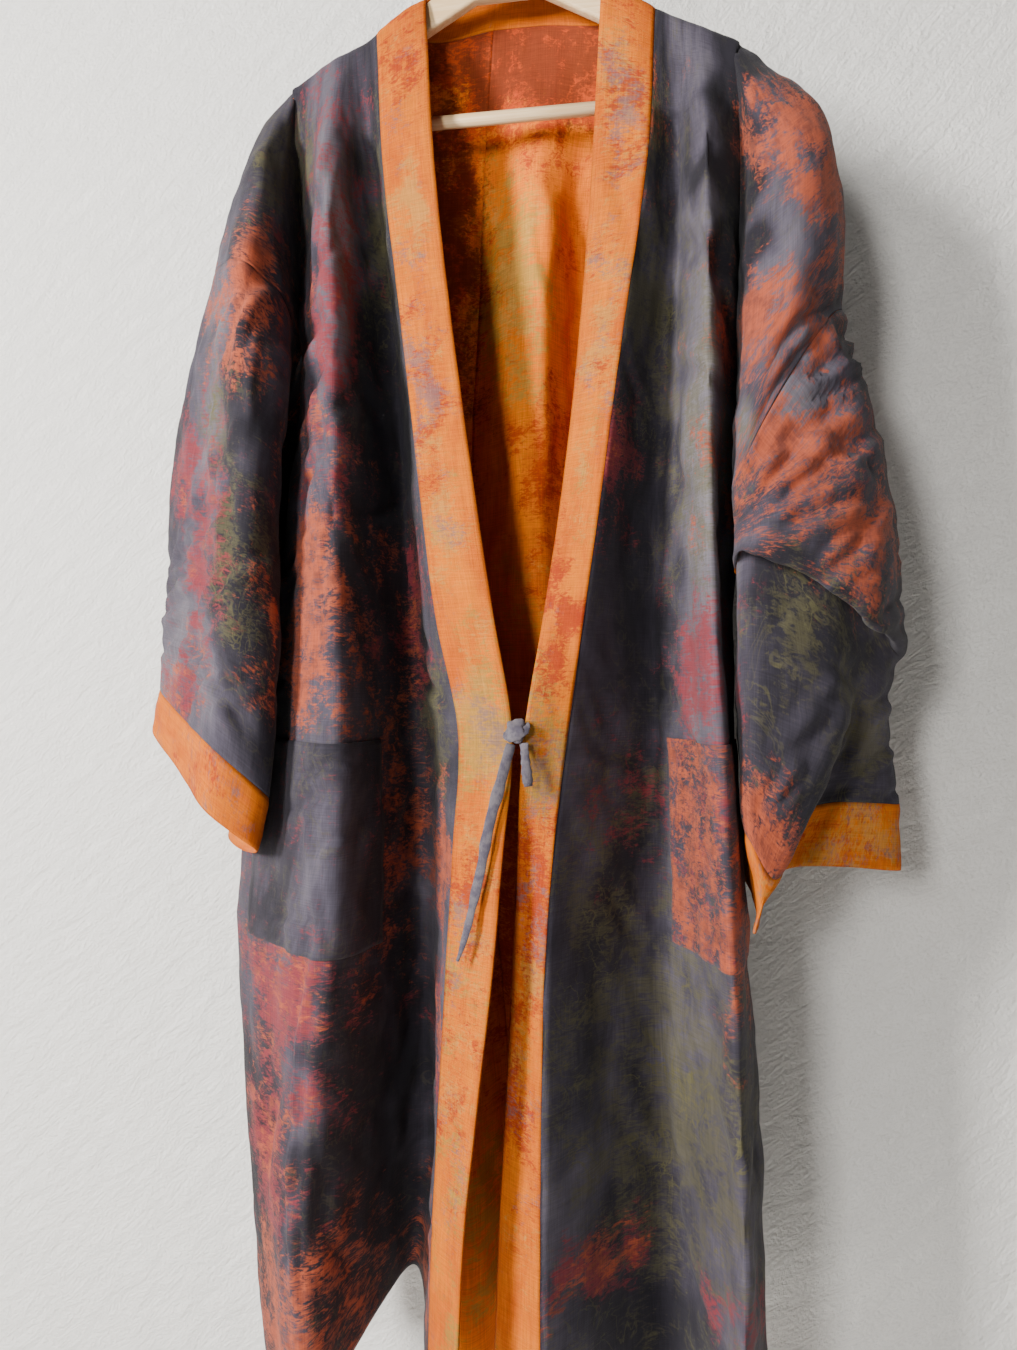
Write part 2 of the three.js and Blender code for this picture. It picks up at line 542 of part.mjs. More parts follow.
// ---- tie ----
// A strip swept along a route, flat against the cloth behind it.
function tieStrip(route, width, thickness) {
  const outline = new THREE.Shape();
  outline.absellipse(0, 0, thickness / 2, width / 2, 0, Math.PI * 2);
  const path = new THREE.CatmullRomCurve3(route.map((point) => new THREE.Vector3(...point)));
  const steps = Math.round(path.getLength() / (width * 0.8));
  return new THREE.ExtrudeGeometry(outline, { steps, extrudePath: path, curveSegments: 5 });
}
const tieLongRoute = [
  [20.5, -104, -807], [17, -105.6, -820], [12, -108, -840], [6, -109, -862], [1, -109, -884],
  [-3, -109, -906], [-8, -109, -928], [-13, -109, -950], [-19, -109, -972], [-23, -109, -984],
];
const tieShortRoute = [
  [31, -103.4, -806.2], [32, -104.6, -816], [33.5, -105.5, -829], [35, -105, -841],
];
const tieKnot = new THREE.SphereGeometry(1, 14, 10);
tieKnot.scale(10, 6.5, 11.5);
place('tie_knot', tieKnot, tieCotton()).position.set(25, -103.2, -796);
place('tie_long_end', tieStrip(tieLongRoute, tieWidth, tieThickness), tieCotton());
place('tie_short_end', tieStrip(tieShortRoute, tieWidth, tieThickness), tieCotton());

// ---- hanger ----
// Both arms are one curved board, flat front and back, with rounded edges.
function hangerArms() {
  const edgeRound = 3;
  const top = (x) => shoulderApex - armClearance - shoulderSlope * Math.abs(x) - edgeRound;
  const bottom = (x) => top(x) - (armHeight - 2 * edgeRound);
  const tip = armReach - edgeRound;
  const outline = new THREE.Shape();
  const foot = railHeight - railRadius - 4;
  outline.moveTo(-ferruleRadius, top(ferruleRadius));
  for (const side of [-1, 1]) {
    const edge = [
      [side * ferruleRadius, top(ferruleRadius)],
      [side * (tip - 14), top(tip - 14)],
      [side * (tip - 3), top(tip) - 2],
      [side * tip, top(tip) - 12],
      [side * (tip - 4), foot + 6],
      [side * (tip - 12), foot],
      [side * (railHalfLength + edgeRound + seamGap), foot],
      [side * (railHalfLength + edgeRound + seamGap), railHeight + railRadius + 6],
      [side * 120, bottom(120)],
      [side * 30, bottom(30)],
    ];
    if (side === 1) edge.reverse();
    for (const [x, z] of edge) outline.lineTo(x, z);
  }
  outline.closePath();
  const geometry = new THREE.ExtrudeGeometry(outline, {
    depth: 2 * (armHalfDepth - edgeRound), bevelEnabled: true, bevelThickness: edgeRound,
    bevelSize: edgeRound, bevelSegments: 2, curveSegments: 6,
  });
  geometry.translate(0, 0, -(armHalfDepth - edgeRound));
  geometry.rotateX(Math.PI / 2);
  return geometry;
}
place('hanger_arms', hangerArms(), paleWood());

const rail = new THREE.CylinderGeometry(railRadius, railRadius, 2 * railHalfLength, 20);
rail.rotateZ(Math.PI / 2);
place('hanger_rail', rail, paleWood()).position.z = railHeight;

const armTop = shoulderApex - armClearance - shoulderSlope * ferruleRadius;
const ferrule = new THREE.CylinderGeometry(ferruleRadius * 0.75, ferruleRadius, ferruleHeight, 20);
ferrule.rotateX(Math.PI / 2);
place('hanger_ferrule', ferrule, steel()).position.z = armTop + seamGap + ferruleHeight / 2;

// Hook: a stem that swings out into a round open to one side.
function hangerHook() {
  const radius = hookInside + hookWire;
  const centre = -hookInside;
  const stemFoot = armTop + ferruleHeight + 2 * seamGap;
  const path = new THREE.CurvePath();
  const from = new THREE.Vector3(0, 0, stemFoot);
  const bend = new THREE.Vector3(0, 0, stemFoot + 12);
  path.add(new THREE.LineCurve3(from, bend));
  const start = -0.25 * Math.PI;
  const at = (angle) => new THREE.Vector3(radius * Math.cos(angle), 0, centre + radius * Math.sin(angle));
  path.add(new THREE.CubicBezierCurve3(bend, new THREE.Vector3(0, 0, stemFoot + 22),
    at(start).add(new THREE.Vector3(-0.7 * 10, 0, -0.7 * 10)), at(start)));
  const round = [];
  for (let i = 0; i <= 12; i += 1) round.push(at(start + (i / 12) * 1.3 * Math.PI));
  path.add(new THREE.CatmullRomCurve3(round));
  const outline = new THREE.Shape();
  outline.absarc(0, 0, hookWire, 0, Math.PI * 2);
  return new THREE.ExtrudeGeometry(outline, { steps: 34, extrudePath: path, curveSegments: 4 });
}
place('hanger_hook', hangerHook(), steel());

// Only positions matter for a solid: shared corners are merged.
yukata.traverse((mesh) => {
  if (!mesh.isMesh) return;
  mesh.geometry.deleteAttribute('normal');
  mesh.geometry.deleteAttribute('uv');
  mesh.geometry = mergeVertices(mesh.geometry, 1e-4);
});

export default yukata;
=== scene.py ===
import math
import bpy
import bmesh
import numpy as np
from mathutils import Matrix, Vector, noise
from mathutils.bvhtree import BVHTree


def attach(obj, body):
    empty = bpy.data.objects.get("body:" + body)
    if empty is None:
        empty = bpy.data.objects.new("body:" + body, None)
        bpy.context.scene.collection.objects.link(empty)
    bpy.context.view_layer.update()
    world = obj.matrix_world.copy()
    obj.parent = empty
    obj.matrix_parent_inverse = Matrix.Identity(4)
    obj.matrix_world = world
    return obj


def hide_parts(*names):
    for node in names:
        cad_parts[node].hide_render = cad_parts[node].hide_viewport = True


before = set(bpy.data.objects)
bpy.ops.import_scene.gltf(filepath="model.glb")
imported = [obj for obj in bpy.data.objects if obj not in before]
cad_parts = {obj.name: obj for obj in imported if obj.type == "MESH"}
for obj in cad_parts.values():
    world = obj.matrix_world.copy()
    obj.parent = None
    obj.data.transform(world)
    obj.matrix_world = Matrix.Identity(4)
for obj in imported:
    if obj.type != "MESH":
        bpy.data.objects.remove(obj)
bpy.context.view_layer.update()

# Cotton yukata on a wooden hanger. The tables are in millimetres, the finished pieces in metres.
# Left and right are as seen from the front.
mm = 0.001

# ---- camera: level, a little to the right of the robe and turned towards it ----
view = {"place": (0.165, -0.9356, -0.751), "turn": 10, "lens": 27.73}
eye = bpy.data.cameras.new("eye")
eye.lens = view["lens"]
eye.clip_start = 0.02
camera = bpy.data.objects.new("eye", eye)
camera.location = view["place"]
camera.rotation_euler = (math.radians(90), 0, math.radians(view["turn"]))
bpy.context.collection.objects.link(camera)
bpy.context.scene.camera = camera

# ---- garment sizes ----
shoulderApex = -85.5  # where both shoulder lines would meet
shoulderSlope = 0.55
armClearance = 4  # between the hanger's arms and the cloth over them
foldStart = -300  # above this the folds spread up to the shoulder
lastHeight = -1200  # from here down each fold runs to its own hem
levelHem = -1320  # the rows are spaced for this hem
armRound = 2.5  # how soon the cloth turns down from the shoulder line
railGap = 9.5  # least distance from the hanger's middle, as far down as railFoot
railFoot = -254
heights = [-300, -400, -500, -600, -700, -800, -900, -1000, -1100, -1200]

# Each row is one fold line of a panel. x and y are listed at the top, the heights above and the hem.
leftFrontFolds = [
    {"name": "bandInner", "hem": -1372, "x": [-76, -60, -46, -31, -15, 2, 20, 13, 5, -6, -16, -23],
      "y": [-9.5, -38, -56, -67, -77, -86, -97, -103, -110, -115, -118, -118]},
    {"name": "bandSeam", "hem": -1372,
      "x": [-122, -110, -94, -79, -65, -50, -28, -33, -39, -45, -50, -56],
      "y": [-9.5, -25, -42, -55, -65, -74, -82, -82, -81, -80, -80, -80]},
    {"name": "valley", "hem": -1318,
      "x": [-139, -126, -112, -105, -100, -95, -91, -88, -87, -86, -87, -98],
      "y": [-9.5, 1, 1, 3, 6, 10, 14, 18, 22, 26, 30, 34]},
    {"name": "ridge", "hem": -1372,
      "x": [-160, -156, -146, -139, -135, -131, -128, -129, -136, -146, -156, -154],
      "y": [-9.5, -50, -71, -84, -93, -100, -104, -105, -105, -105, -105, -105]},
    {"name": "hollow", "hem": -1378,
      "x": [-184, -181, -176, -176, -180, -184, -188, -196, -203, -206, -208, -202],
      "y": [-9.5, -26, -37, -45, -52, -56, -58, -58, -58, -58, -58, -58]},
    {"name": "side", "hem": -1380,
      "x": [-203, -202, -201, -203, -219, -233, -246, -262, -265, -259, -251, -238],
      "y": [-9.5, 4, 4, 8, 12, 14, 15, 15, 15, 15, 15, 15]},
]

rightFrontFolds = [
    {"name": "bandInner", "hem": -1385, "x": [86, 78, 72, 64, 54, 42, 30, 21, 14, 9, 4, -3],
      "y": [-9.5, -14, -22, -32, -46, -66, -97, -74, -60, -58, -60, -62]},
    {"name": "bandSeam", "hem": -1385, "x": [133, 127, 115, 102, 90, 77, 64, 52, 45, 43, 42, 42],
      "y": [-9.5, -25, -42, -55, -65, -75, -83, -85, -87, -88, -90, -90]},
    {"name": "valley", "hem": -1385, "x": [150, 149, 144, 138, 134, 131, 131, 132, 133, 136, 140, 145],
      "y": [-9.5, 1, 1, 4, 8, 11, 14, 18, 22, 26, 29, 31]},
    {"name": "ridge", "hem": -1385, "x": [172, 177, 178, 178, 179, 182, 187, 192, 198, 203, 206, 207],
      "y": [-9.5, -44, -70, -86, -94, -99, -100, -98, -94, -91, -90, -90]},
    {"name": "hollow", "hem": -1382, "x": [188, 196, 197, 194, 188, 189, 196, 204, 211, 216, 220, 222],
      "y": [-9.5, -20, -32, -40, -44, -45, -44, -41, -38, -36, -36, -36]},
    {"name": "side", "hem": -1380, "x": [203, 207, 204, 204, 206, 200, 202, 206, 211, 218, 225, 230],
      "y": [-9.5, 4, 4, 4, 5, 8, 12, 15, 15, 15, 15, 15]},
]

leftBackFolds = [
    {"name": "centreBack", "hem": -1396, "neck": -141, "inner": [-16, 36, -92],
      "x": [-20, -36, -40, -46, -47, -44, -38, -31, -23, -14, -6, 0],
      "y": [32, 60, 62, 62, 62, 62, 64, 68, 70, 70, 65, 58]},
    {"name": "innerValley", "hem": -1396, "neck": -153, "inner": [-58, 25, -104],
      "x": [-75, -82, -86, -88, -87, -84, -79, -72, -64, -55, -46, -37],
      "y": [22, 52, 58, 58, 54, 47, 38, 28, 16, 3, -11, -24]},
    {"name": "neckTurn", "hem": -1325, "neck": -146, "inner": [-72, 13, -112],
      "x": [-104, -112, -118, -122, -124, -124, -122, -120, -118, -115, -111, -106],
      "y": [14, 82, 100, 107, 109, 109, 107, 104, 100, 95, 89, 82]},
    {"name": "shoulderNeck", "hem": -1338,
      "x": [-122, -150, -158, -160, -162, -164, -165, -166, -166, -165, -163, -160],
      "y": [9.5, 46, 52, 56, 58, 60, 60, 60, 60, 60, 60, 58]},
    {"name": "outerRidge", "hem": -1384,
      "x": [-165, -178, -178, -183, -200, -216, -225, -230, -229, -224, -217, -208],
      "y": [9.5, 60, 78, 88, 93, 96, 97, 96, 94, 92, 90, 86]},
    {"name": "side", "hem": -1380,
      "x": [-203, -202, -200, -203, -219, -233, -246, -262, -265, -259, -251, -238],
      "y": [9.5, 15, 11, 8, 12, 14, 15, 15, 15, 15, 15, 15]},
]

rightBackFolds = [
    leftBackFolds[0],
    {"name": "innerValley", "hem": -1396, "neck": -141, "inner": [28, 37, -92],
      "x": [30, 28, 29, 28, 28, 30, 33, 36, 38, 40, 42, 44],
      "y": [33, 28, 14, 6, 2, 2, 8, 18, 28, 36, 40, 40]},
    {"name": "innerRidge", "hem": -1396, "neck": -153, "inner": [66, 25, -107],
      "x": [85, 60, 58, 60, 63, 67, 70, 73, 76, 79, 82, 85],
      "y": [22, 56, 60, 62, 64, 66, 70, 76, 82, 88, 92, 92]},
    {"name": "neckTurn", "hem": -1392, "neck": -151, "inner": [84, 13, -117],
      "x": [114, 99, 100, 102, 105, 108, 112, 115, 118, 121, 124, 126],
      "y": [14, 58, 61, 63, 63, 62, 61, 60, 59, 58, 58, 58]},
    {"name": "shoulderNeck", "hem": -1388,
      "x": [133, 138, 144, 148, 151, 154, 158, 161, 165, 168, 171, 173],
      "y": [9.5, 76, 95, 103, 107, 108, 108, 107, 106, 105, 103, 100]},
    {"name": "outerValley", "hem": -1384,
      "x": [168, 178, 182, 184, 186, 190, 194, 198, 202, 206, 210, 213],
      "y": [9.5, 50, 56, 60, 63, 66, 68, 70, 71, 72, 72, 70]},
    {"name": "side", "hem": -1380, "x": [203, 206, 205, 205, 206, 200, 202, 206, 211, 218, 225, 230],
      "y": [9.5, 15, 12, 10, 5, 8, 12, 15, 15, 15, 15, 15]},
]

# The points round each section of cap, sleeve and cuff. A cap has its share of the way down the
# armhole in front and leaves "under" out.
sleeveLines = ["under", "frontIn", "front", "frontOut", "top", "backOut", "back", "backIn"]
leftCap = [
    [0.05, [-203, -11, -213], [-207, -10, -213], [-212, -6, -212],
     [-214, 0, -210], [-212, 6, -212], [-207, 10, -213], [-203, 11, -213]],
    [0.2, [-206, -26, -256], [-214, -38, -256], [-228, -26, -250],
     [-236, 2, -240], [-230, 28, -250], [-218, 42, -256], [-209, 30, -256]],
    [0.5, [-201, -44, -322], [-214, -68, -320], [-244, -44, -310],
     [-263, 2, -303], [-250, 50, -310], [-224, 74, -320], [-212, 50, -325]],
]

leftSleeve = [
    ["armhole", [-201, 6, -446], [-197, -60, -412], [-215, -92, -394], [-252, -56, -380],
     [-284, 2, -372], [-262, 58, -378], [-230, 92, -395], [-216, 52, -426]],
    ["upper arm", [-219, 12, -505], [-188, -70, -480], [-210, -102, -462], [-264, -52, -448],
     [-308, 2, -440], [-290, 62, -446], [-250, 98, -462], [-213, 60, -482]],
    ["elbow", [-229, 16, -580], [-191, -80, -560], [-207, -108, -545], [-274, -50, -530],
     [-326, 2, -520], [-304, 66, -525], [-262, 102, -542], [-220, 64, -562]],
    ["forearm", [-252, 24, -660], [-190, -82, -640], [-212, -110, -625], [-280, -50, -612],
     [-333, 2, -600], [-312, 68, -606], [-273, 104, -624], [-238, 64, -645]],
    ["above cuff", [-270, 29, -745], [-188, -85, -725], [-218, -112, -705], [-284, -52, -692],
     [-337, 2, -680], [-320, 66, -686], [-286, 102, -704], [-268, 62, -728]],
    ["cuff seam", [-284, 33, -852], [-196, -88, -856], [-234, -110, -815], [-290, -58, -790],
     [-343, 2, -764], [-328, 62, -772], [-298, 98, -800], [-280, 62, -828]],
]

leftCuff = [
    ["cuff middle", [-286, 33, -880], [-202, -88, -880], [-238, -110, -842], [-294, -56, -813],
     [-348, 2, -784], [-332, 62, -793], [-301, 97, -822], [-282, 62, -852]],
    ["cuff edge", [-287, 33, -908], [-208, -86, -902], [-242, -108, -868], [-296, -54, -837],
     [-352, 2, -804], [-336, 60, -814], [-304, 96, -845], [-284, 60, -878]],
]

rightCap = [
    [0.03, [204, -11, -213], [208, -10, -213], [213, -6, -211],
     [216, 0, -208], [213, 6, -211], [208, 10, -213], [204, 11, -213]],
    [0.2, [222, -34, -292], [240, -40, -286], [261, -26, -266],
     [266, 0, -250], [262, 28, -266], [242, 42, -288], [218, 36, -292]],
    [0.5, [217, -64, -415], [245, -78, -398], [282, -42, -350],
     [289, 0, -330], [284, 42, -352], [250, 78, -400], [214, 56, -415]],
]

rightSleeve = [
    ["armhole", [206, 5, -600], [198, -108, -600], [222, -106, -550], [276, -52, -459],
     [294, 0, -439], [282, 50, -465], [246, 88, -530], [214, 55, -583]],
    ["upper arm", [217, 8, -640], [204, -120, -628], [258, -114, -598], [304, -64, -548],
     [314, 0, -522], [300, 62, -545], [262, 98, -588], [218, 60, -625]],
    ["elbow", [217, 10, -672], [205, -125, -645], [266, -123, -642], [318, -76, -628],
     [329, 0, -610], [312, 66, -622], [272, 102, -645], [217, 62, -662]],
    ["fold edge", [214, 12, -702], [203, -120, -655], [256, -124, -679], [306, -98, -714],
     [341, -6, -722], [321, 66, -712], [281, 104, -708], [212, 64, -704]],
    ["fold inside", [214, 12, -724], [206, -106, -638], [252, -109, -656], [294, -84, -690],
     [337, -2, -742], [321, 66, -736], [281, 103, -732], [212, 64, -728]],
    ["below fold", [213, 12, -758], [206, -101, -690], [270, -93, -712], [300, -52, -738],
     [333, 14, -768], [319, 68, -766], [279, 102, -764], [212, 64, -762]],
    ["forearm", [213, 14, -808], [207, -95, -770], [281, -73, -798], [291, -22, -800],
     [337, 20, -806], [319, 72, -806], [277, 102, -808], [211, 64, -810]],
    ["cuff seam", [216, 20, -892], [209, -92, -880], [229, -94, -912], [266, -18, -864],
     [344, 20, -864], [322, 76, -866], [274, 104, -872], [213, 66, -883]],
]

rightCuff = [
    ["cuff middle", [217, 21, -920], [214, -86, -916], [220, -96, -932], [254, -18, -891],
     [345, 20, -893], [323, 77, -895], [274, 105, -900], [214, 67, -910]],
    ["cuff edge", [218, 22, -948], [217, -80, -950], [213, -98, -954], [243, -18, -918],
     [345, 20, -922], [323, 78, -924], [274, 106, -928], [215, 68, -937]],
]

halves = {
    "left": {"front": leftFrontFolds, "back": leftBackFolds, "cap": leftCap,
             "sleeve": leftSleeve, "cuff": leftCuff, "armpit": -446, "flip": True},
    "right": {"front": rightFrontFolds, "back": rightBackFolds, "cap": rightCap,
              "sleeve": rightSleeve, "cuff": rightCuff, "armpit": -600, "flip": False},
}

# ---- smooth curves ----
# One curve a row through points (rows, n, d) at knots (rows, n), read at t (rows, m).
def spline(knots, points, t):
    span = np.diff(knots, axis=1)
    chord = np.diff(points, axis=1) / span[..., None]
    share = (span[:, :-1] / (span[:, :-1] + span[:, 1:]))[..., None]
    slope = np.empty(points.shape)
    slope[:, 1:-1] = chord[:, :-1] + (chord[:, 1:] - chord[:, :-1]) * share
    slope[:, 0], slope[:, -1] = chord[:, 0], chord[:, -1]
    at = (t[:, :, None] > knots[:, None, 1:-1]).sum(2)
    row = np.arange(len(t))[:, None]
    f = ((t - knots[row, at]) / span[row, at])[..., None]
    h = span[row, at][..., None]
    return (points[row, at] * (2 * f**3 - 3 * f**2 + 1) + slope[row, at] * h * (f**3 - 2 * f**2 + f)
            + points[row, at + 1] * (3 * f**2 - 2 * f**3) + slope[row, at + 1] * h * (f**3 - f**2))


leastStep = 0.01  # keeps the knots of two equal points apart


def knotsOf(points):
    step = np.sqrt(np.linalg.norm(np.diff(points, axis=1), axis=2) + leastStep)
    return np.concatenate([np.zeros((len(points), 1)), np.cumsum(step, axis=1)], axis=1)


# Points across every row's section: a fraction f along stretch k.
def across(points, k, f, closed=False):
    if closed:
        points = np.concatenate([points[:, -2:], points, points[:, :3]], axis=1)
        k = k + 2
    knots = knotsOf(points)
    return spline(knots, points, knots[:, k] * (1 - f) + knots[:, k + 1] * f)


def columns(steps, first=0):
    k = np.concatenate([np.full(count, i + first) for i, count in enumerate(steps)])
    f = np.concatenate([np.arange(count) / count for count in steps])
    return np.append(k, len(steps) - 1 + first), np.append(f, 1.0)


def ease(value):
    value = np.clip(value, 0, 1)
    return value * value * (3 - 2 * value)


# ---- the body's sections ----
def shoulderHeight(x):
    return shoulderApex - shoulderSlope * abs(x)


def foldLine(fold, s):
    top = fold.get("neck", shoulderHeight(fold["x"][0]))
    level = foldStart + (levelHem - foldStart) * (s - 1)
    free = lastHeight + (fold["hem"] - lastHeight) * (level - lastHeight) / (levelHem - lastHeight)
    z = np.where(s < 1, top + (foldStart - top) * s, np.where(level > lastHeight, level, free))
    knots = -np.array([[top, *heights, fold["hem"]]], dtype=float)
    x, y = spline(knots, np.array([fold["x"], fold["y"]], dtype=float).T[None], -z[None])[0].T
    if "neck" not in fold:
        outside = np.sign(fold["y"][0])
        gap = np.where(z > railFoot, railGap, railGap + z - railFoot)
        y = outside * np.maximum(outside * y, gap) * (1 - np.exp((z - top) / armRound))
    return np.stack([x, y, z], axis=1)


def rowAt(z):
    return 1 + (foldStart - z) / (foldStart - levelHem)


def bodyFolds(half, s):
    front = np.stack([foldLine(fold, s) for fold in half["front"]], axis=1)
    apart = np.clip((rowAt(half["armpit"]) - s) / mesh["part"], 0, 1)[:, None]
    side = front[:, -1] + (foldLine(half["back"][-1], s) - front[:, -1]) * apart
    back = [foldLine(fold, s) for fold in half["back"][:-1]]
    return front, np.stack([side, *back[::-1]], axis=1)


# How fine the grids are. Down the robe, s runs from 0 at the shoulder to 1 at foldStart and 2 at the
# hem. In s: front and back part over "part" above the armpit, their curves over "join", and the
# back of the shoulder is straight for about "straight". The top of the sleeve is fitted to the cap
# over the first stretch divided by "mend".
mesh = {"rowStep": 4.0, "shoulderSteps": 40, "band": 14, "panel": [16, 34, 22, 22],
        "leftBack": [16, 22, 14, 16, 18], "rightBack": [14, 16, 16, 14, 16, 18],
        "line": 16, "sleeveStep": 3.6, "part": 0.15, "join": 0.12, "straight": 0.02, "mend": 1.4}


def bodyRows(half):
    top = np.concatenate([[0, 0.004, 0.01, 0.02, 0.035], np.linspace(0.055, 1, mesh["shoulderSteps"])])
    armpit, low = rowAt(half["armpit"]), (foldStart - levelHem) / mesh["rowStep"]
    upper = np.linspace(1, armpit, max(int(low * (armpit - 1)), 2))[1:]
    lower = np.linspace(armpit, 2, int(low * (2 - armpit)))[1:]
    return np.concatenate([top, upper, lower]), len(top) + len(upper)


# Every grid of one half of the robe, as points by row and column.
def halfGrids(half, backSteps):
    s, armpitRow = bodyRows(half)
    front, back = bodyFolds(half, s)
    joined = ease((s - rowAt(half["armpit"]) + mesh["join"]) / mesh["join"])[:, None, None]
    k, f = columns(mesh["panel"])
    whole = np.concatenate([front[:, 1:], back[:, 1:]], axis=1)
    alone, together = across(front[:, 1:], k, f), across(whole, k, f)
    grids = {"front": alone + (together - alone) * joined}
    k, f = columns(backSteps)
    alone, together = across(back, k, f), across(whole, k + front.shape[1] - 2, f)
    row = alone + (together - alone) * joined
    # along the shoulder the back runs straight, as far as the neck
    neckless = np.array(["neck" not in fold for fold in half["back"][::-1]])
    plain = (neckless[k] & neckless[np.minimum(k + 1, len(neckless) - 1)])[None, :, None]
    straight = back[:, k] + (back[:, k + 1] - back[:, k]) * f[None, :, None]
    grids["back"] = row + (straight - row) * plain * np.exp(-s / mesh["straight"])[:, None, None]
    k, f = columns([mesh["band"]])
    grids["band"] = across(front[:, :2], k, f)

    end = front[0, -1]
    armhole = half["sleeve"][0]
    share = np.clip((end[2] - front[:armpitRow, -1, 2]) / (end[2] - armhole[1][2]), 0, 1)
    knots = np.array([[0, *[section[0] for section in half["cap"]], 1]], dtype=float)
    lines = [spline(knots, np.array([[end, *[section[i] for section in half["cap"]], armhole[i + 1]]],
                                    dtype=float), share[None])[0] for i in range(1, len(sleeveLines))]
    cap = np.stack([front[:armpitRow, -1], *lines, back[:armpitRow, 0]], axis=1)
    k, f = columns([mesh["line"]] * 8)
    capRows = across(cap, k, f)
    middle = 4 * mesh["line"]
    grids["capFront"], grids["capBack"] = capRows[:, :middle + 1], capRows[:, middle:]

    # sleeve and cuff: the lines run smoothly through the sections, then each ring is closed
    sections = np.array([section[1:] for section in half["sleeve"] + half["cuff"]], dtype=float)
    stops = np.sqrt(np.linalg.norm(np.diff(sections, axis=0), axis=2)).mean(1)
    stops = np.concatenate([[0], np.cumsum(stops)])
    seam = len(half["sleeve"]) - 1
    span = np.linalg.norm(np.diff(sections, axis=0), axis=2).mean(1)
    stretches = []
    for i, width in enumerate(span):
        count = max(int(width / mesh["sleeveStep"]), 3)
        stretches.append(np.linspace(stops[i], stops[i + 1], count + 1)[:-1])
    sleeveT, cuffT = np.concatenate(stretches[:seam]), np.concatenate(stretches[seam:])
    sleeveT, cuffT = np.append(sleeveT, stops[seam]), np.append(cuffT, stops[-1])

    def rings(t):
        lines = spline(np.tile(stops, (8, 1)), sections.transpose(1, 0, 2), np.tile(t, (8, 1)))
        return across(lines.transpose(1, 0, 2), k, f, closed=True)
    tube = rings(sleeveT)
    mend = (1 - ease(sleeveT / stops[1] * mesh["mend"]))[:, None, None]
    grids["sleeve"] = tube + (capRows[-1] - tube[0])[None] * mend
    grids["cuff"] = rings(cuffT)

    # the band behind the neck, from the neck seam up to its own top edge
    neck = [fold for fold in half["back"] if "neck" in fold]
    inner = np.array([[front[0, 0], *[fold["inner"] for fold in neck[::-1]]]], dtype=float)
    steps = backSteps[len(backSteps) - len(neck):]
    k, f = columns(steps)
    top = across(inner, k, f)[0]
    base = across(back[:1], k + len(half["back"]) - 1 - len(neck), f)[0]
    rise = np.linspace(0, 1, mesh["band"] + 1)[:, None, None]
    grids["neckBand"] = top[None] + (base - top)[None] * rise
    return grids


garment = {name: halfGrids(half, mesh[f"{name}Back"]) for name, half in halves.items()}
print("sections done")

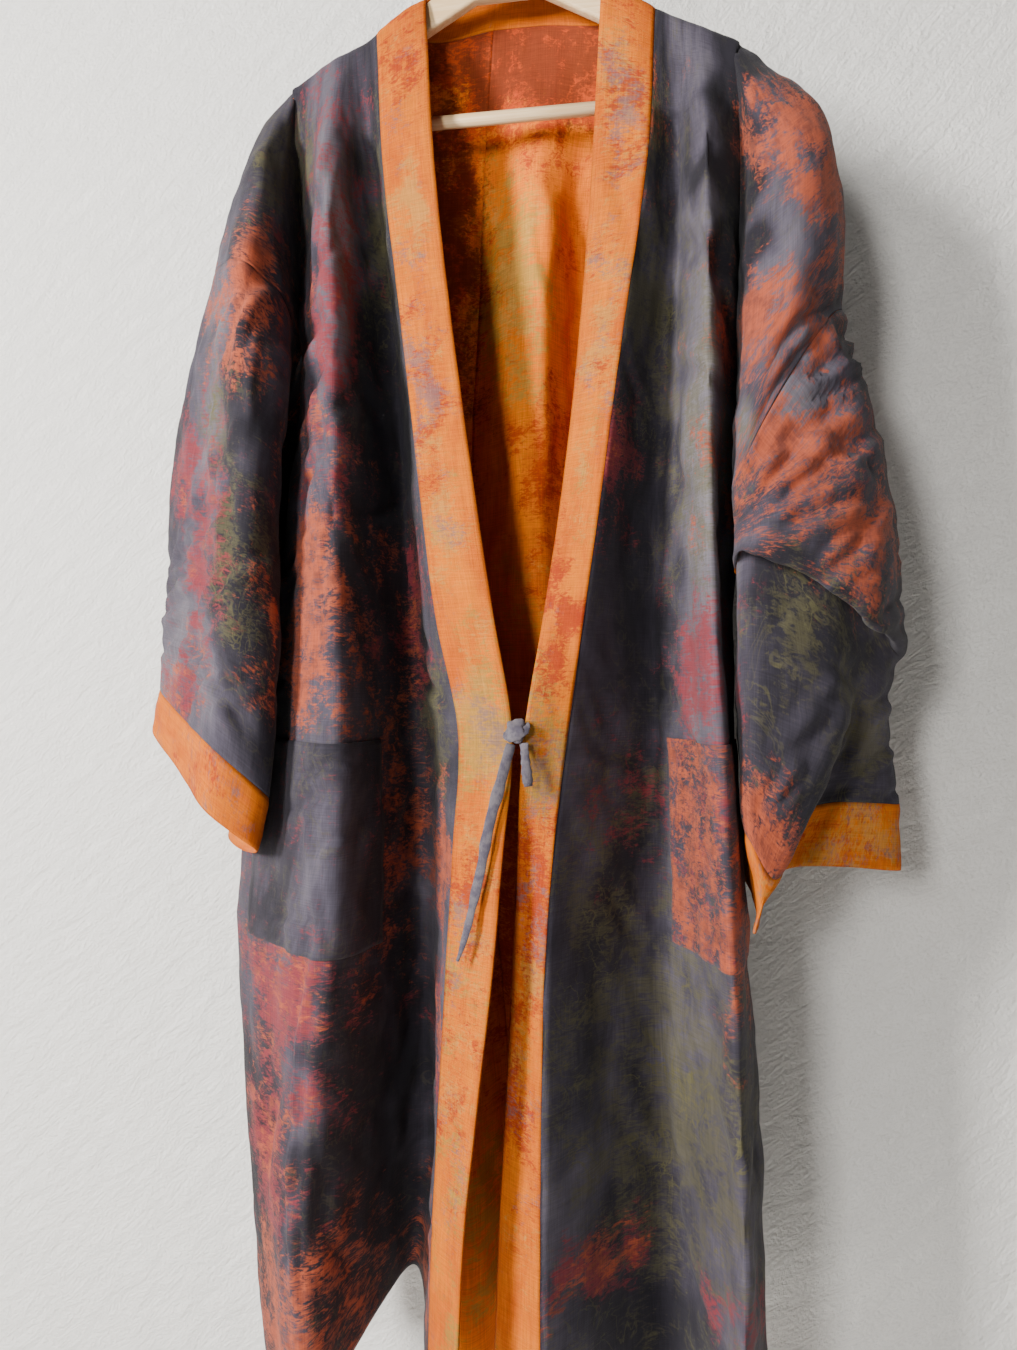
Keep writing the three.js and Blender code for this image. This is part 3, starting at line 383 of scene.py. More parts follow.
# ---- cloth surface: creases, wrinkles and the slight unevenness of hung cotton ----
# Columns: from x, from z, to x, to z, depth, half width.
creases = {
    "front": [
        # the crisp edge of the left front's ridge
        [-134, -640, -156, -250, -2.6, 5], [-136, -1000, -131, -560, -2.4, 5],
        [-158, -1330, -134, -940, -2.6, 6],
        # left front
        [-96, -748, -28, -792, 2.2, 6], [-88, -700, -40, -784, 1.4, 5], [-72, -862, -22, -806, 1.8, 6],
        [-216, -1008, -140, -1002, 2.0, 4], [-210, -972, -140, -958, 1.6, 6],
        [-204, -470, -132, -436, 3.0, 10], [-196, -540, -128, -470, 2.2, 9],
        [-150, -330, -128, -520, 2.6, 12], [-186, -640, -150, -560, 2.0, 10],
        [-164, -1180, -148, -960, 2.2, 12], [-214, -1260, -180, -1080, 2.4, 12],
        [-166, -842, -118, -824, 3.0, 5], [-186, -874, -124, -852, 2.6, 6],
        [-150, -905, -122, -884, 2.2, 5],
        # right front
        [92, -300, 116, -430, 2.2, 9], [196, -420, 150, -356, 2.6, 10], [190, -520, 146, -470, 2.0, 9],
        [168, -640, 156, -480, 2.2, 10], [96, -1060, 76, -880, 1.8, 10],
        [160, -1230, 140, -1040, 2.6, 12], [206, -1200, 178, -1010, 2.0, 10],
        [60, -808, 128, -842, 1.3, 7],
        # left sleeve
        [-302, -640, -260, -686, 3.6, 5], [-308, -678, -266, -704, 3.2, 5],
        [-298, -604, -254, -640, 3.0, 6], [-264, -702, -222, -672, 3.0, 5],
        [-300, -712, -258, -742, 3.2, 6], [-236, -560, -228, -650, 3.0, 6],
        [-252, -404, -206, -392, 3.0, 5], [-262, -446, -214, -414, 2.4, 8],
        [-246, -480, -252, -620, 3.0, 9], [-296, -500, -274, -650, 2.6, 9],
        [-222, -560, -232, -700, 2.4, 8], [-306, -700, -252, -664, 3.2, 8],
        [-300, -742, -236, -706, 3.0, 8], [-286, -776, -222, -742, 2.4, 7],
        [-312, -640, -276, -690, 2.6, 7], [-254, -740, -206, -800, 2.6, 7],
        # right sleeve, spreading from the tip of its fold
        [204, -640, 300, -520, 3.2, 8], [208, -646, 306, -566, 3.0, 7], [214, -656, 310, -612, 2.6, 7],
        [206, -618, 262, -480, 2.4, 9], [252, -552, 318, -604, 3.4, 8], [262, -440, 300, -500, 2.6, 9],
        [286, -664, 322, -600, 3.0, 7], [236, -730, 300, -760, 2.6, 8], [224, -800, 282, -764, 2.2, 8],
        [248, -860, 300, -742, 2.6, 9], [300, -830, 322, -720, 2.4, 8],
    ],
    "back": [
        [-196, -460, -120, -420, 3.0, 10], [-190, -560, -116, -480, 2.4, 10],
        [-150, -330, -120, -560, 2.4, 12], [-60, -620, -40, -300, 2.0, 12],
        [200, -560, 120, -470, 3.0, 10], [196, -640, 124, -600, 2.4, 10],
        [80, -420, 100, -720, 2.2, 12], [-210, -1260, -176, -1000, 2.6, 12],
        [150, -1240, 170, -960, 2.6, 12], [-300, -690, -240, -640, 3.0, 8],
        [-310, -560, -262, -480, 2.6, 9], [250, -600, 318, -560, 3.0, 8],
        [236, -720, 310, -700, 2.8, 8], [230, -800, 316, -770, 2.4, 8],
    ],
}

# Small wrinkles in fields. Columns: face, x range, z range, how many, lean in degrees from level,
# usual length, depth and half width.
wrinkleFields = [
    ["front", (-320, -200), (-790, -600), 30, 40, 52, 2.6, 5],
    ["front", (-300, -200), (-600, -400), 18, 75, 66, 2.2, 6],
    ["front", (210, 330), (-690, -440), 34, 38, 60, 2.2, 5],
    ["front", (215, 335), (-870, -700), 22, 50, 56, 2.2, 5],
    ["front", (-210, -40), (-1290, -780), 30, 80, 70, 1.3, 6],
    ["front", (60, 220), (-1290, -780), 38, 100, 70, 1.5, 6],
    ["front", (-200, -60), (-740, -260), 26, 72, 60, 1.2, 6],
    ["front", (70, 200), (-780, -260), 26, 100, 60, 1.2, 6],
    ["back", (-320, -200), (-790, -420), 26, 45, 50, 1.5, 6],
    ["back", (210, 335), (-860, -480), 30, 130, 50, 1.5, 6],
    ["back", (-230, 230), (-1290, -250), 70, 88, 80, 1.0, 8],
]
rng = np.random.default_rng(7)
for face, acrossRange, upRange, count, usualLean, usualLong, usualDepth, usualWide in wrinkleFields:
    for _ in range(count):
        x, z = rng.uniform(*acrossRange), rng.uniform(*upRange)
        lean = math.radians(usualLean + rng.normal(0, 14))
        reach = usualLong * rng.uniform(0.35, 0.8)
        dx, dz = math.cos(lean) * reach, math.sin(lean) * reach
        creases[face].append([x - dx, z - dz, x + dx, z + dz,
                              usualDepth * rng.uniform(0.4, 1.3), usualWide * rng.uniform(0.7, 1.5)])


# A crease is steep on one side and easy on the other, with a low lip along each. Widths and places
# across it are in half widths. bow is its bend, and past reach it is left out.
creaseForm = {"steep": 0.6, "easy": 1.3, "sharp": 1.25, "bow": 0.06, "taper": 0.7, "reach": 4,
              "nearLip": 0.6, "nearAt": 1.3, "nearWide": 0.8, "farLip": 0.25, "farAt": 2.1}


# Height of all creases at points (n, 3) in millimetres, for one face of the robe.
def creaseHeight(points, face):
    total = np.zeros(len(points))
    for x0, z0, x1, z1, depth, wide in creases[face]:
        dx, dz = x1 - x0, z1 - z0
        long = math.hypot(dx, dz)
        px, pz = points[:, 0] - x0, points[:, 2] - z0
        t = (px * dx + pz * dz) / long**2
        off = (px * dz - pz * dx) / long
        near = np.flatnonzero((abs(t - 0.5) < 0.52) & (abs(off) < wide * creaseForm["reach"]))
        bow = creaseForm["bow"] * long * np.sin(np.pi * t[near])
        off = off[near] + bow
        taper = np.clip(np.sin(np.pi * np.clip(t[near], 0, 1)), 0, 1) ** creaseForm["taper"]
        nearLip = (off - creaseForm["nearAt"] * wide) / (creaseForm["nearWide"] * wide)
        farLip = (off + creaseForm["farAt"] * wide) / wide
        lip = creaseForm["nearLip"] * np.exp(-nearLip ** 2) + creaseForm["farLip"] * np.exp(-farLip ** 2)
        slope = wide * np.where(off > 0, creaseForm["steep"], creaseForm["easy"])
        total[near] += depth * taper * (lip - np.exp(-(abs(off) / slope) ** creaseForm["sharp"]))
    return total


# Smooth noise over points, each axis stretched to its own length.
def noiseOver(points, stretch, seed):
    scaled = points / np.array(stretch) + seed * 17.31
    return np.array([noise.noise(Vector(p)) for p in scaled])


rumple = {"drape": 2.6, "soft": 2.4, "small": 2.1, "fine": 0.65, "crease": 2.1, "most": 4.6}
facing = 1.6  # how quickly a look changes over from the robe's front to its back


def frontShare(normals):
    return ease(0.5 - normals[:, 1] * facing)


def clothHeight(points, normals):
    front = frontShare(normals)
    height = creaseHeight(points, "front") * front + creaseHeight(points, "back") * (1 - front)
    height = rumple["most"] * np.tanh(height * rumple["crease"] / rumple["most"])
    height += rumple["drape"] * noiseOver(points, (34, 34, 300), 1)
    height += rumple["soft"] * noiseOver(points, (70, 70, 110), 2)
    height += rumple["small"] * noiseOver(points, (24, 24, 40), 3)
    height += rumple["fine"] * noiseOver(points, (9, 9, 15), 4)
    return height


# ---- colour zones of the print, with painted light and shade: how much orange, red and olive shows in each place, and where the cloth is painted lighter or darker ----
# Columns: x, z, half width, half height, then the shares of orange, red, olive, pale and dark. Pale is a
# painted highlight on lit faces of ridges, dark is painted shade in valleys and folds.
printAndPaintedLight = {
    "front": [
        [-150, -420, 30, 150, 0.12, 0.66, 0, 0, 0], [-168, -250, 34, 60, 0.12, 0.5, 0, 0, 0],
        [-158, -590, 30, 50, 0.2, 0.55, 0, 0, 0], [-160, -700, 34, 110, 0.86, 0, 0, 0, 0],
        [-164, -560, 30, 60, 0.4, 0.5, 0, 0, 0], [-84, -690, 24, 70, 0.35, 0.7, 0, 0, 0],
        [-106, -860, 24, 150, 0.55, 0, 0, 0, 0], [-54, -905, 18, 80, 0.75, 0, 0, 0, 0],
        [-56, -1050, 16, 100, 0.45, 0.55, 0, 0, 0], [-190, -1020, 60, 120, 0.42, 0.72, 0, 0, 0],
        [-206, -1180, 46, 80, 0.4, 0.66, 0, 0, 0], [-176, -1310, 60, 80, 0.82, 0, 0, 0, 0],
        [-62, -1270, 24, 80, 0.65, 0, 0, 0, 0], [-60, -790, 20, 50, 0, 0, 0.85, 0, 0],
        [-206, -290, 30, 60, 0, 0, 0.75, 0, 0], [-110, -330, 20, 110, 0, 0, 0.7, 0, 0],
        [-226, -422, 40, 62, 0.92, 0, 0, 0, 0], [-252, -520, 26, 50, 0, 0.4, 0.6, 0, 0],
        [-264, -640, 36, 110, 0.2, 0.68, 0, 0, 0], [-226, -640, 26, 80, 0, 0, 0.7, 0, 0],
        [-292, -755, 40, 56, 0.5, 0.6, 0, 0, 0], [-300, -560, 20, 70, 0.2, 0.6, 0, 0, 0],
        [118, -410, 34, 90, 0, 0, 0.85, 0, 0], [120, -270, 30, 70, 0.3, 0, 0.65, 0, 0],
        [96, -565, 22, 60, 0.3, 0.75, 0, 0, 0], [171, -540, 26, 150, 0, 0, 0.75, 0, 0],
        [174, -742, 28, 66, 0, 0.78, 0, 0, 0], [120, -860, 50, 70, 0, 0.4, 0.5, 0, 0],
        [90, -960, 40, 80, 0, 0, 0.6, 0, 0], [150, -1120, 90, 190, 0, 0, 0.72, 0, 0],
        [80, -1262, 34, 26, 0.6, 0.85, 0, 0, 0], [210, -1290, 26, 40, 0, 0.6, 0, 0, 0],
        [208, -1000, 14, 60, 0.6, 0, 0, 0, 0], [248, -285, 34, 50, 0.9, 0, 0, 0, 0],
        [282, -335, 24, 90, 0.85, 0, 0, 0, 0], [230, -470, 50, 60, 0.78, 0, 0, 0, 0],
        [236, -580, 56, 60, 0.88, 0, 0, 0, 0], [302, -640, 36, 46, 0.85, 0, 0, 0, 0],
        [300, -550, 24, 60, 0.3, 0.3, 0, 0, 0], [250, -720, 40, 60, 0, 0, 0.6, 0, 0],
        [300, -790, 30, 60, 0, 0, 0.85, 0, 0], [218, -880, 26, 50, 0.95, 0, 0, 0, 0],
        # Painted light and shade: pale shares on lit ridges and faces, dark shares in valleys, on the
        # lower left front and under the right sleeve's fold.
        [-128, -1150, 24, 170, 0, 0, 0, 0, 1.0], [-200, -1120, 40, 200, 0, 0, 0, 0, 0.35],
        [-226, -520, 20, 120, 0, 0, 0, 0, 0.8], [-104, -560, 24, 220, 0, 0, 0, 0, 0.5],
        [-148, -400, 16, 170, 0, 0, 0, 0.8, 0], [-254, -500, 14, 120, 0, 0, 0, 0.7, 0],
        [-270, -700, 40, 60, 0, 0, 0, 0.35, 0], [172, -560, 22, 210, 0, 0, 0, 0.95, 0],
        [70, -620, 14, 120, 0, 0, 0, 0.5, 0], [236, -500, 50, 120, 0, 0, 0, 0.5, 0],
        [230, -676, 26, 16, 0, 0, 0, 0, 0.9], [262, -698, 26, 16, 0, 0, 0, 0, 0.9],
        [292, -726, 22, 16, 0, 0, 0, 0, 0.9], [204, -310, 15, 160, 0, 0, 0, 0, 1.2],
        [306, -480, 22, 80, 0, 0, 0, 0, 0.6],
    ],
    "back": [
        [-130, -420, 60, 120, 0.8, 0, 0, 0, 0], [60, -330, 70, 70, 0, 0.7, 0, 0, 0],
        [110, -680, 60, 110, 0.9, 0, 0, 0, 0], [-40, -700, 50, 130, 0, 0.65, 0, 0, 0],
        [-180, -860, 60, 110, 0, 0, 0.8, 0, 0], [20, -1000, 70, 110, 0.25, 0, 0.7, 0, 0],
        [-130, -1180, 70, 100, 0.85, 0, 0, 0, 0], [150, -1120, 60, 130, 0, 0.7, 0, 0, 0],
        [-280, -520, 50, 90, 0.8, 0, 0, 0, 0], [-290, -730, 50, 70, 0, 0.7, 0, 0, 0],
        [280, -500, 50, 100, 0.75, 0, 0, 0, 0], [280, -740, 50, 90, 0, 0.3, 0.6, 0, 0],
    ],
}

# The dyed side. Columns: x, z, half width, half height, then the shares of apricot, red, olive and smoke.
# On the band smoke is a greyish tint; on the inside it is painted shade in umber, at the back neck and
# where the left band's shadow falls on the back.
dyeAndPaintedShade = {
    "inside": [
        # Painted shade: the fourth share at the back neck and in the left band's shadow.
        [20, -170, 120, 60, 0, 1.5, 0, 0.95], [-66, -320, 34, 190, 0, 0.9, 0, 0.9],
        [-4, -380, 34, 110, 0.4, 0, 0.8, 0], [30, -570, 30, 80, 0, 0.7, 0, 0],
        [56, -300, 22, 120, 0, 0.35, 0, 0], [10, -690, 40, 50, 0.6, 0, 0, 0],
        [0, -1000, 60, 160, 0, 0.7, 0, 0], [-10, -1260, 40, 70, 0, 0, 0.9, 0],
    ],
    "band": [
        [-92, -180, 30, 70, 0.3, 0.6, 0, 0], [-84, -330, 16, 60, 0.75, 0, 0, 0],
        [-70, -430, 14, 50, 0, 0.4, 0, 0], [-58, -530, 18, 70, 0.5, 0.6, 0, 0],
        [-38, -620, 18, 60, 0.6, 0, 0.3, 0], [-8, -790, 30, 70, 0.6, 0, 0.85, 0],
        [-14, -930, 22, 60, 0.5, 0.55, 0, 0], [-26, -1000, 16, 60, 0, 0, 0.6, 0],
        [-22, -1090, 20, 90, 0.45, 0.4, 0, 0], [-30, -1260, 20, 70, 0, 0, 0.5, 0],
        [104, -240, 30, 90, 0.6, 0.62, 0, 0], [92, -430, 20, 80, 0.7, 0.3, 0, 0],
        [76, -580, 18, 60, 0.5, 0, 0.3, 0], [52, -710, 18, 70, 0, 0.95, 0, 0],
        [44, -820, 22, 60, 0.5, 0, 0.85, 0], [38, -930, 18, 70, 0, 0.8, 0, 0],
        [26, -1040, 22, 70, 0.7, 0.4, 0, 0], [24, -1240, 22, 60, 0.3, 0, 0, 0],
        [-62, -500, 18, 70, 0, 0, 0, 0.62], [-40, -600, 12, 40, 0, 0, 0, 0.45],
        [-92, -240, 16, 50, 0, 0, 0, 0.4], [106, -250, 20, 70, 0, 0, 0, 0.66],
        [96, -380, 16, 60, 0, 0, 0, 0.45], [-8, -780, 20, 50, 0, 0, 0, 0.5],
        [44, -830, 20, 50, 0, 0, 0, 0.5], [-24, -960, 16, 60, 0, 0.6, 0, 0.5],
        [-30, -1150, 18, 60, 0, 0, 0.5, 0.35], [34, -960, 16, 60, 0, 0, 0, 0.5],
        [26, -1130, 18, 70, 0, 0.62, 0, 0.35], [-74, -400, 14, 40, 0, 0, 0, 0.5],
        [84, -500, 14, 50, 0, 0.4, 0, 0.4], [-230, -760, 60, 40, 0.4, 0, 0, 0],
        [-270, -840, 50, 40, 0, 0.4, 0, 0], [290, -900, 70, 50, 0.7, 0.35, 0, 0.4],
    ],
}


# The edge of a zone wobbles: size and reach of that wobble, and how sharply the zone ends.
zoneForm = {"wobble": (40, 40, 40), "reach": 26, "sharp": 0.8}


# The most that any zone of this face gives at each point, one column for each share.
def zoneWeights(points, table, face):
    wobble = [noiseOver(points, zoneForm["wobble"], seed) for seed in (11, 12)]
    wobble = np.stack(wobble, axis=1) * zoneForm["reach"]
    zones = np.array(table[face], dtype=float)
    found = np.zeros((len(points), zones.shape[1] - 4))
    for zone in zones:
        off = (points[:, [0, 2]] + wobble - zone[:2]) / zone[2:4]
        weight = np.exp(-(off ** 2).sum(1) * zoneForm["sharp"])
        found = np.maximum(found, weight[:, None] * zone[4:])
    return found


# ---- building a piece ----
def gridInto(bm, points, flip, uvStart=(0, 0)):
    rows, cols = points.shape[:2]
    step = np.linalg.norm(np.diff(points, axis=1), axis=2).mean(0)
    u = uvStart[0] + np.concatenate([[0], np.cumsum(step)])
    step = np.linalg.norm(np.diff(points, axis=0), axis=2).mean(1)
    v = uvStart[1] + np.concatenate([[0], np.cumsum(step)])
    uvLayer = bm.loops.layers.uv.verify()
    made = bmesh.ops.create_grid(bm, x_segments=cols - 1, y_segments=rows - 1, size=1)["verts"]
    at = {}
    for vert in made:
        i, j = round((vert.co.x + 1) / 2 * (cols - 1)), round((1 - vert.co.y) / 2 * (rows - 1))
        at[vert] = (u[i] * mm, v[j] * mm)
        vert.co = points[j, i] * mm
    faces = {face for vert in made for face in vert.link_faces}
    for face in faces:
        for loop in face.loops:
            loop[uvLayer].uv = at[loop.vert]
    if flip:
        bmesh.ops.reverse_faces(bm, faces=list(faces))


# How far a point is from the piece's edge, 0 at the edge and 1 from reach steps inwards.
def edgeFade(data, reach=4):
    count = len(data.vertices)
    pairs = np.empty(len(data.edges) * 2, dtype=np.int32)
    data.edges.foreach_get("vertices", pairs)
    pairs = pairs.reshape(-1, 2)
    uses = np.zeros(len(data.edges), dtype=np.int32)
    loopEdges = np.empty(len(data.loops), dtype=np.int32)
    data.loops.foreach_get("edge_index", loopEdges)
    np.add.at(uses, loopEdges, 1)
    level = np.full(count, reach)
    level[pairs[uses == 1].ravel()] = 0
    for _ in range(reach):
        np.minimum.at(level, pairs[:, 0], level[pairs[:, 1]] + 1)
        np.minimum.at(level, pairs[:, 1], level[pairs[:, 0]] + 1)
    return level / reach


# Free room in millimetres before the piece's own cloth, along the normals times sign.
def roomAlong(tree, points, normals, sign, most=14.0):
    room = np.full(len(points), most)
    for i, (point, normal) in enumerate(zip(points * mm, normals * sign)):
        hit = tree.ray_cast(Vector(point + normal * mm), Vector(normal), most * mm)
        if hit[0] is not None:
            room[i] = hit[3] / mm + 1
    return room


# Limits the height where the cloth would turn over on itself or pass through itself: no edge may
# shrink below its least share, and the heights beside one that does are calmed a little each round.
def calmed(data, tree, points, normals, height, wall=0.7, rounds=14, least=0.3, calm=0.7):
    height = np.minimum(height, roomAlong(tree, points, normals, 1) / 2 - wall)
    height = np.maximum(height, wall - roomAlong(tree, points, normals, -1) / 2)
    pairs = np.empty(len(data.edges) * 2, dtype=np.int32)
    data.edges.foreach_get("vertices", pairs)
    a, b = pairs.reshape(-1, 2).T
    first = points[b] - points[a]
    long = (first ** 2).sum(1)
    for _ in range(rounds):
        over = np.zeros(len(a), dtype=bool)
        for side in (-wall, wall):
            moved = points + normals * (height + side)[:, None]
            over |= ((moved[b] - moved[a]) * first).sum(1) < least * long
        if not over.any():
            break
        near = np.zeros(len(points), dtype=bool)
        near[a[over]] = near[b[over]] = True
        height[near] *= calm
    return height


def readPoints(data):
    points, normals = np.empty(len(data.vertices) * 3), np.empty(len(data.vertices) * 3)
    data.vertices.foreach_get("co", points)
    data.vertices.foreach_get("normal", normals)
    return points.reshape(-1, 3) / mm, normals.reshape(-1, 3)


def addColours(data, name, values):
    layer = data.attributes.new(name, "FLOAT_COLOR", "POINT")
    layer.data.foreach_set("color", values.astype(np.float32).ravel())


# At a piece's edge the cloth is calmer, and the outermost row sinks a little. weld is in metres.
edgeForm = {"share": 0.25, "sink": 0.5, "weld": 0.0003}


# grids: list of (points, start of its pattern). lift raises the piece off the cloth's middle. The print
# argument, when given, holds the print shares and the painted light and shade for the whole piece.
def clothPiece(name, grids, flips, materials, thickness, lift=0, faded=True, bulge=None,
               printed=None, dye="inside", strength=1.0):
    bm = bmesh.new()
    for (points, start), flip in zip(grids, flips):
        gridInto(bm, points, flip, start)
    bmesh.ops.remove_doubles(bm, verts=bm.verts, dist=edgeForm["weld"])
    data = bpy.data.meshes.new(name)
    bm.to_mesh(data)
    tree = BVHTree.FromBMesh(bm)
    bm.free()
    points, normals = readPoints(data)
    fade = edgeFade(data) if faded else np.ones(len(points))
    share = edgeForm["share"] + (1 - edgeForm["share"]) * fade
    height = clothHeight(points, normals) * share * strength + lift
    height -= edgeForm["sink"] * (fade == 0) * faded
    if bulge is not None:
        height += bulge(points, fade)
    moved = points + normals * calmed(data, tree, points, normals, height)[:, None]
    data.vertices.foreach_set("co", (moved * mm).ravel())
    front = frontShare(normals)[:, None]
    zones = (zoneWeights(points, printAndPaintedLight, "front") * front
             + zoneWeights(points, printAndPaintedLight, "back") * (1 - front))
    # The fourth channel is painted light and shade: 0.5 for none, higher for painted highlights, lower
    # for painted shade.
    zones = np.column_stack([zones[:, :3], 0.5 + 0.5 * (zones[:, 3] - zones[:, 4])])
    addColours(data, "printAndPaintedLight", zones if printed is None else np.repeat(printed, len(points), axis=0))
    addColours(data, "dyeAndPaintedShade", zoneWeights(points, dyeAndPaintedShade, dye))
    data.shade_smooth()
    piece = bpy.data.objects.new(name, data)
    bpy.context.collection.objects.link(piece)
    for material in materials:
        data.materials.append(material)
    wall = piece.modifiers.new("wall", "SOLIDIFY")
    wall.thickness = thickness * mm
    wall.offset = 0
    wall.use_even_offset = False
    if len(materials) > 1:
        wall.material_offset = 1
    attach(piece, "root")
    return piece


# ---- finishes ----
def place(tree, kind, **values):
    made = tree.nodes.new(kind)
    for key, value in values.items():
        if hasattr(made, key):
            setattr(made, key, value)
    return made


# Sets a socket to a value or joins it to another socket.
def feed(tree, socket, source):
    if isinstance(source, bpy.types.NodeSocket):
        tree.links.new(source, socket)
    else:
        socket.default_value = source


def calc(tree, operation, *sources, clamp=False):
    made = place(tree, "ShaderNodeMath", operation=operation, use_clamp=clamp)
    for socket, source in zip(made.inputs, sources):
        feed(tree, socket, source)
    return made.outputs[0]


def blend(tree, share, first, second, kind="MIX"):
    made = place(tree, "ShaderNodeMix", data_type="RGBA", blend_type=kind)
    feed(tree, made.inputs[0], share)
    feed(tree, made.inputs[6], first)
    feed(tree, made.inputs[7], second)
    return made.outputs[2]


def cloud(tree, vector, size, detail=4, rough=0.55, stretch=(1, 1, 1), shift=(0, 0, 0), twist=0):
    mapping = place(tree, "ShaderNodeMapping")
    feed(tree, mapping.inputs["Vector"], vector)
    feed(tree, mapping.inputs["Scale"], stretch)
    feed(tree, mapping.inputs["Location"], shift)
    made = place(tree, "ShaderNodeTexNoise")
    feed(tree, made.inputs["Vector"], mapping.outputs[0])
    feed(tree, made.inputs["Scale"], size)
    feed(tree, made.inputs["Detail"], detail)
    feed(tree, made.inputs["Roughness"], rough)
    feed(tree, made.inputs["Distortion"], twist)
    return made.outputs["Fac"]


def step(tree, value, low, high):
    made = place(tree, "ShaderNodeMapRange", interpolation_type="SMOOTHSTEP")
    feed(tree, made.inputs["Value"], value)
    feed(tree, made.inputs["From Min"], low)
    feed(tree, made.inputs["From Max"], high)
    return made.outputs[0]


def newGroup(name, inputs, outputs):
    group = bpy.data.node_groups.new(name, "ShaderNodeTree")
    for label, kind in inputs:
        group.interface.new_socket(name=label, in_out="INPUT", socket_type=kind)
    for label, kind in outputs:
        group.interface.new_socket(name=label, in_out="OUTPUT", socket_type=kind)
    return group, place(group, "NodeGroupInput"), place(group, "NodeGroupOutput")


def useGroup(tree, group, **values):
    made = place(tree, "ShaderNodeGroup", node_tree=group)
    for label, source in values.items():
        feed(tree, made.inputs[label], source)
    return made


floatKind, vectorKind = "NodeSocketFloat", "NodeSocketVector"

# Plain weave with slubs: Height for the bump, Shade a factor on the colour.
weave, source, result = newGroup("cottonWeave", [("Vector", vectorKind), ("Threads", floatKind)],
                                 [("Height", floatKind), ("Shade", floatKind)])
split = place(weave, "ShaderNodeSeparateXYZ")
feed(weave, split.inputs[0], source.outputs["Vector"])
warp = calc(weave, "SINE", calc(weave, "MULTIPLY", split.outputs[0], source.outputs["Threads"]))
weft = calc(weave, "SINE", calc(weave, "MULTIPLY", split.outputs[1], source.outputs["Threads"]))
down = cloud(weave, source.outputs["Vector"], 1.0, 2, 0.6, (1100, 26, 1))
over = cloud(weave, source.outputs["Vector"], 1.0, 2, 0.6, (30, 900, 1))
slub = calc(weave, "ADD", down, over)
height = calc(weave, "MULTIPLY_ADD", calc(weave, "MULTIPLY", warp, weft), 0.25, slub)
feed(weave, result.inputs["Height"], height)
feed(weave, result.inputs["Shade"], calc(weave, "MULTIPLY_ADD", slub, 0.75, 0.25))

# Mottled areas with broken edges: Amount 0 to 1 sets how much of the cloth they cover.
mottle, source, result = newGroup("mottle", [("Vector", vectorKind), ("Amount", floatKind),
                                             ("Shift", floatKind)], [("Mask", floatKind)])
shift = place(mottle, "ShaderNodeCombineXYZ")
feed(mottle, shift.inputs[0], source.outputs["Shift"])
moved = place(mottle, "ShaderNodeVectorMath", operation="ADD")
feed(mottle, moved.inputs[0], source.outputs["Vector"])
feed(mottle, moved.inputs[1], shift.outputs[0])
# broad areas, brush marks and specks: size, detail, roughness, stretch, twist and gain
grain = 0.0
for size, detail, rough, stretch, twist, gain in ((30, 5, 0.6, (1, 0.9, 1), 0.4, 1.9),
                                                  (165, 5, 0.7, (0.7, 1.35, 1), 1.2, 2.1),
                                                  (420, 3, 0.7, (0.6, 1.4, 1), 0, 0.5)):
    part = cloud(mottle, moved.outputs[0], size, detail, rough, stretch, twist=twist)
    grain = calc(mottle, "MULTIPLY_ADD", calc(mottle, "SUBTRACT", part, 0.5), gain, grain)
cover = calc(mottle, "MULTIPLY_ADD", source.outputs["Amount"], 1.0, -0.50)
cover = calc(mottle, "ADD", cover, grain)
present = step(mottle, source.outputs["Amount"], 0.03, 0.16)
feed(mottle, result.inputs["Mask"], calc(mottle, "MULTIPLY", step(mottle, cover, -0.20, 0.30), present))

# Thin leaf-like sprays: broken contour lines of a twisted noise.
sprays, source, result = newGroup("leafSprays", [("Vector", vectorKind), ("Amount", floatKind)],
                                  [("Mask", floatKind)])
twigs = cloud(sprays, source.outputs["Vector"], 34, 3, 0.55, (1, 0.7, 1), (3, 1, 0), 1.6)
line = step(sprays, calc(sprays, "ABSOLUTE", calc(sprays, "SUBTRACT", twigs, 0.5)), 0.024, 0.006)
leaves = cloud(sprays, source.outputs["Vector"], 90, 4, 0.7, (0.7, 1.2, 1), (7, 2, 0), 0.8)
leaf = step(sprays, leaves, 0.6, 0.66)
patches = step(sprays, cloud(sprays, source.outputs["Vector"], 13, 3, 0.6, shift=(1, 9, 0)), 0.42, 0.6)
mark = calc(sprays, "MULTIPLY", calc(sprays, "MAXIMUM", line, leaf), patches)
feed(sprays, result.inputs["Mask"], calc(sprays, "MULTIPLY", mark, source.outputs["Amount"], clamp=True))

# A row of stitches at a distance from the piece's edge, read from its own cut.
stitches, source, result = newGroup("stitches", [("Vector", vectorKind), ("Offset", floatKind)],
                                    [("Mask", floatKind)])
split = place(stitches, "ShaderNodeSeparateXYZ")
feed(stitches, split.inputs[0], source.outputs["Vector"])
away = calc(stitches, "ABSOLUTE", calc(stitches, "SUBTRACT", split.outputs[0], source.outputs["Offset"]))
dash = calc(stitches, "SINE", calc(stitches, "MULTIPLY", split.outputs[1], 2200))
feed(stitches, result.inputs["Mask"], calc(stitches, "MULTIPLY", step(stitches, away, 0.0008, 0.0003),
                                           step(stitches, dash, -0.5, 0.0)))

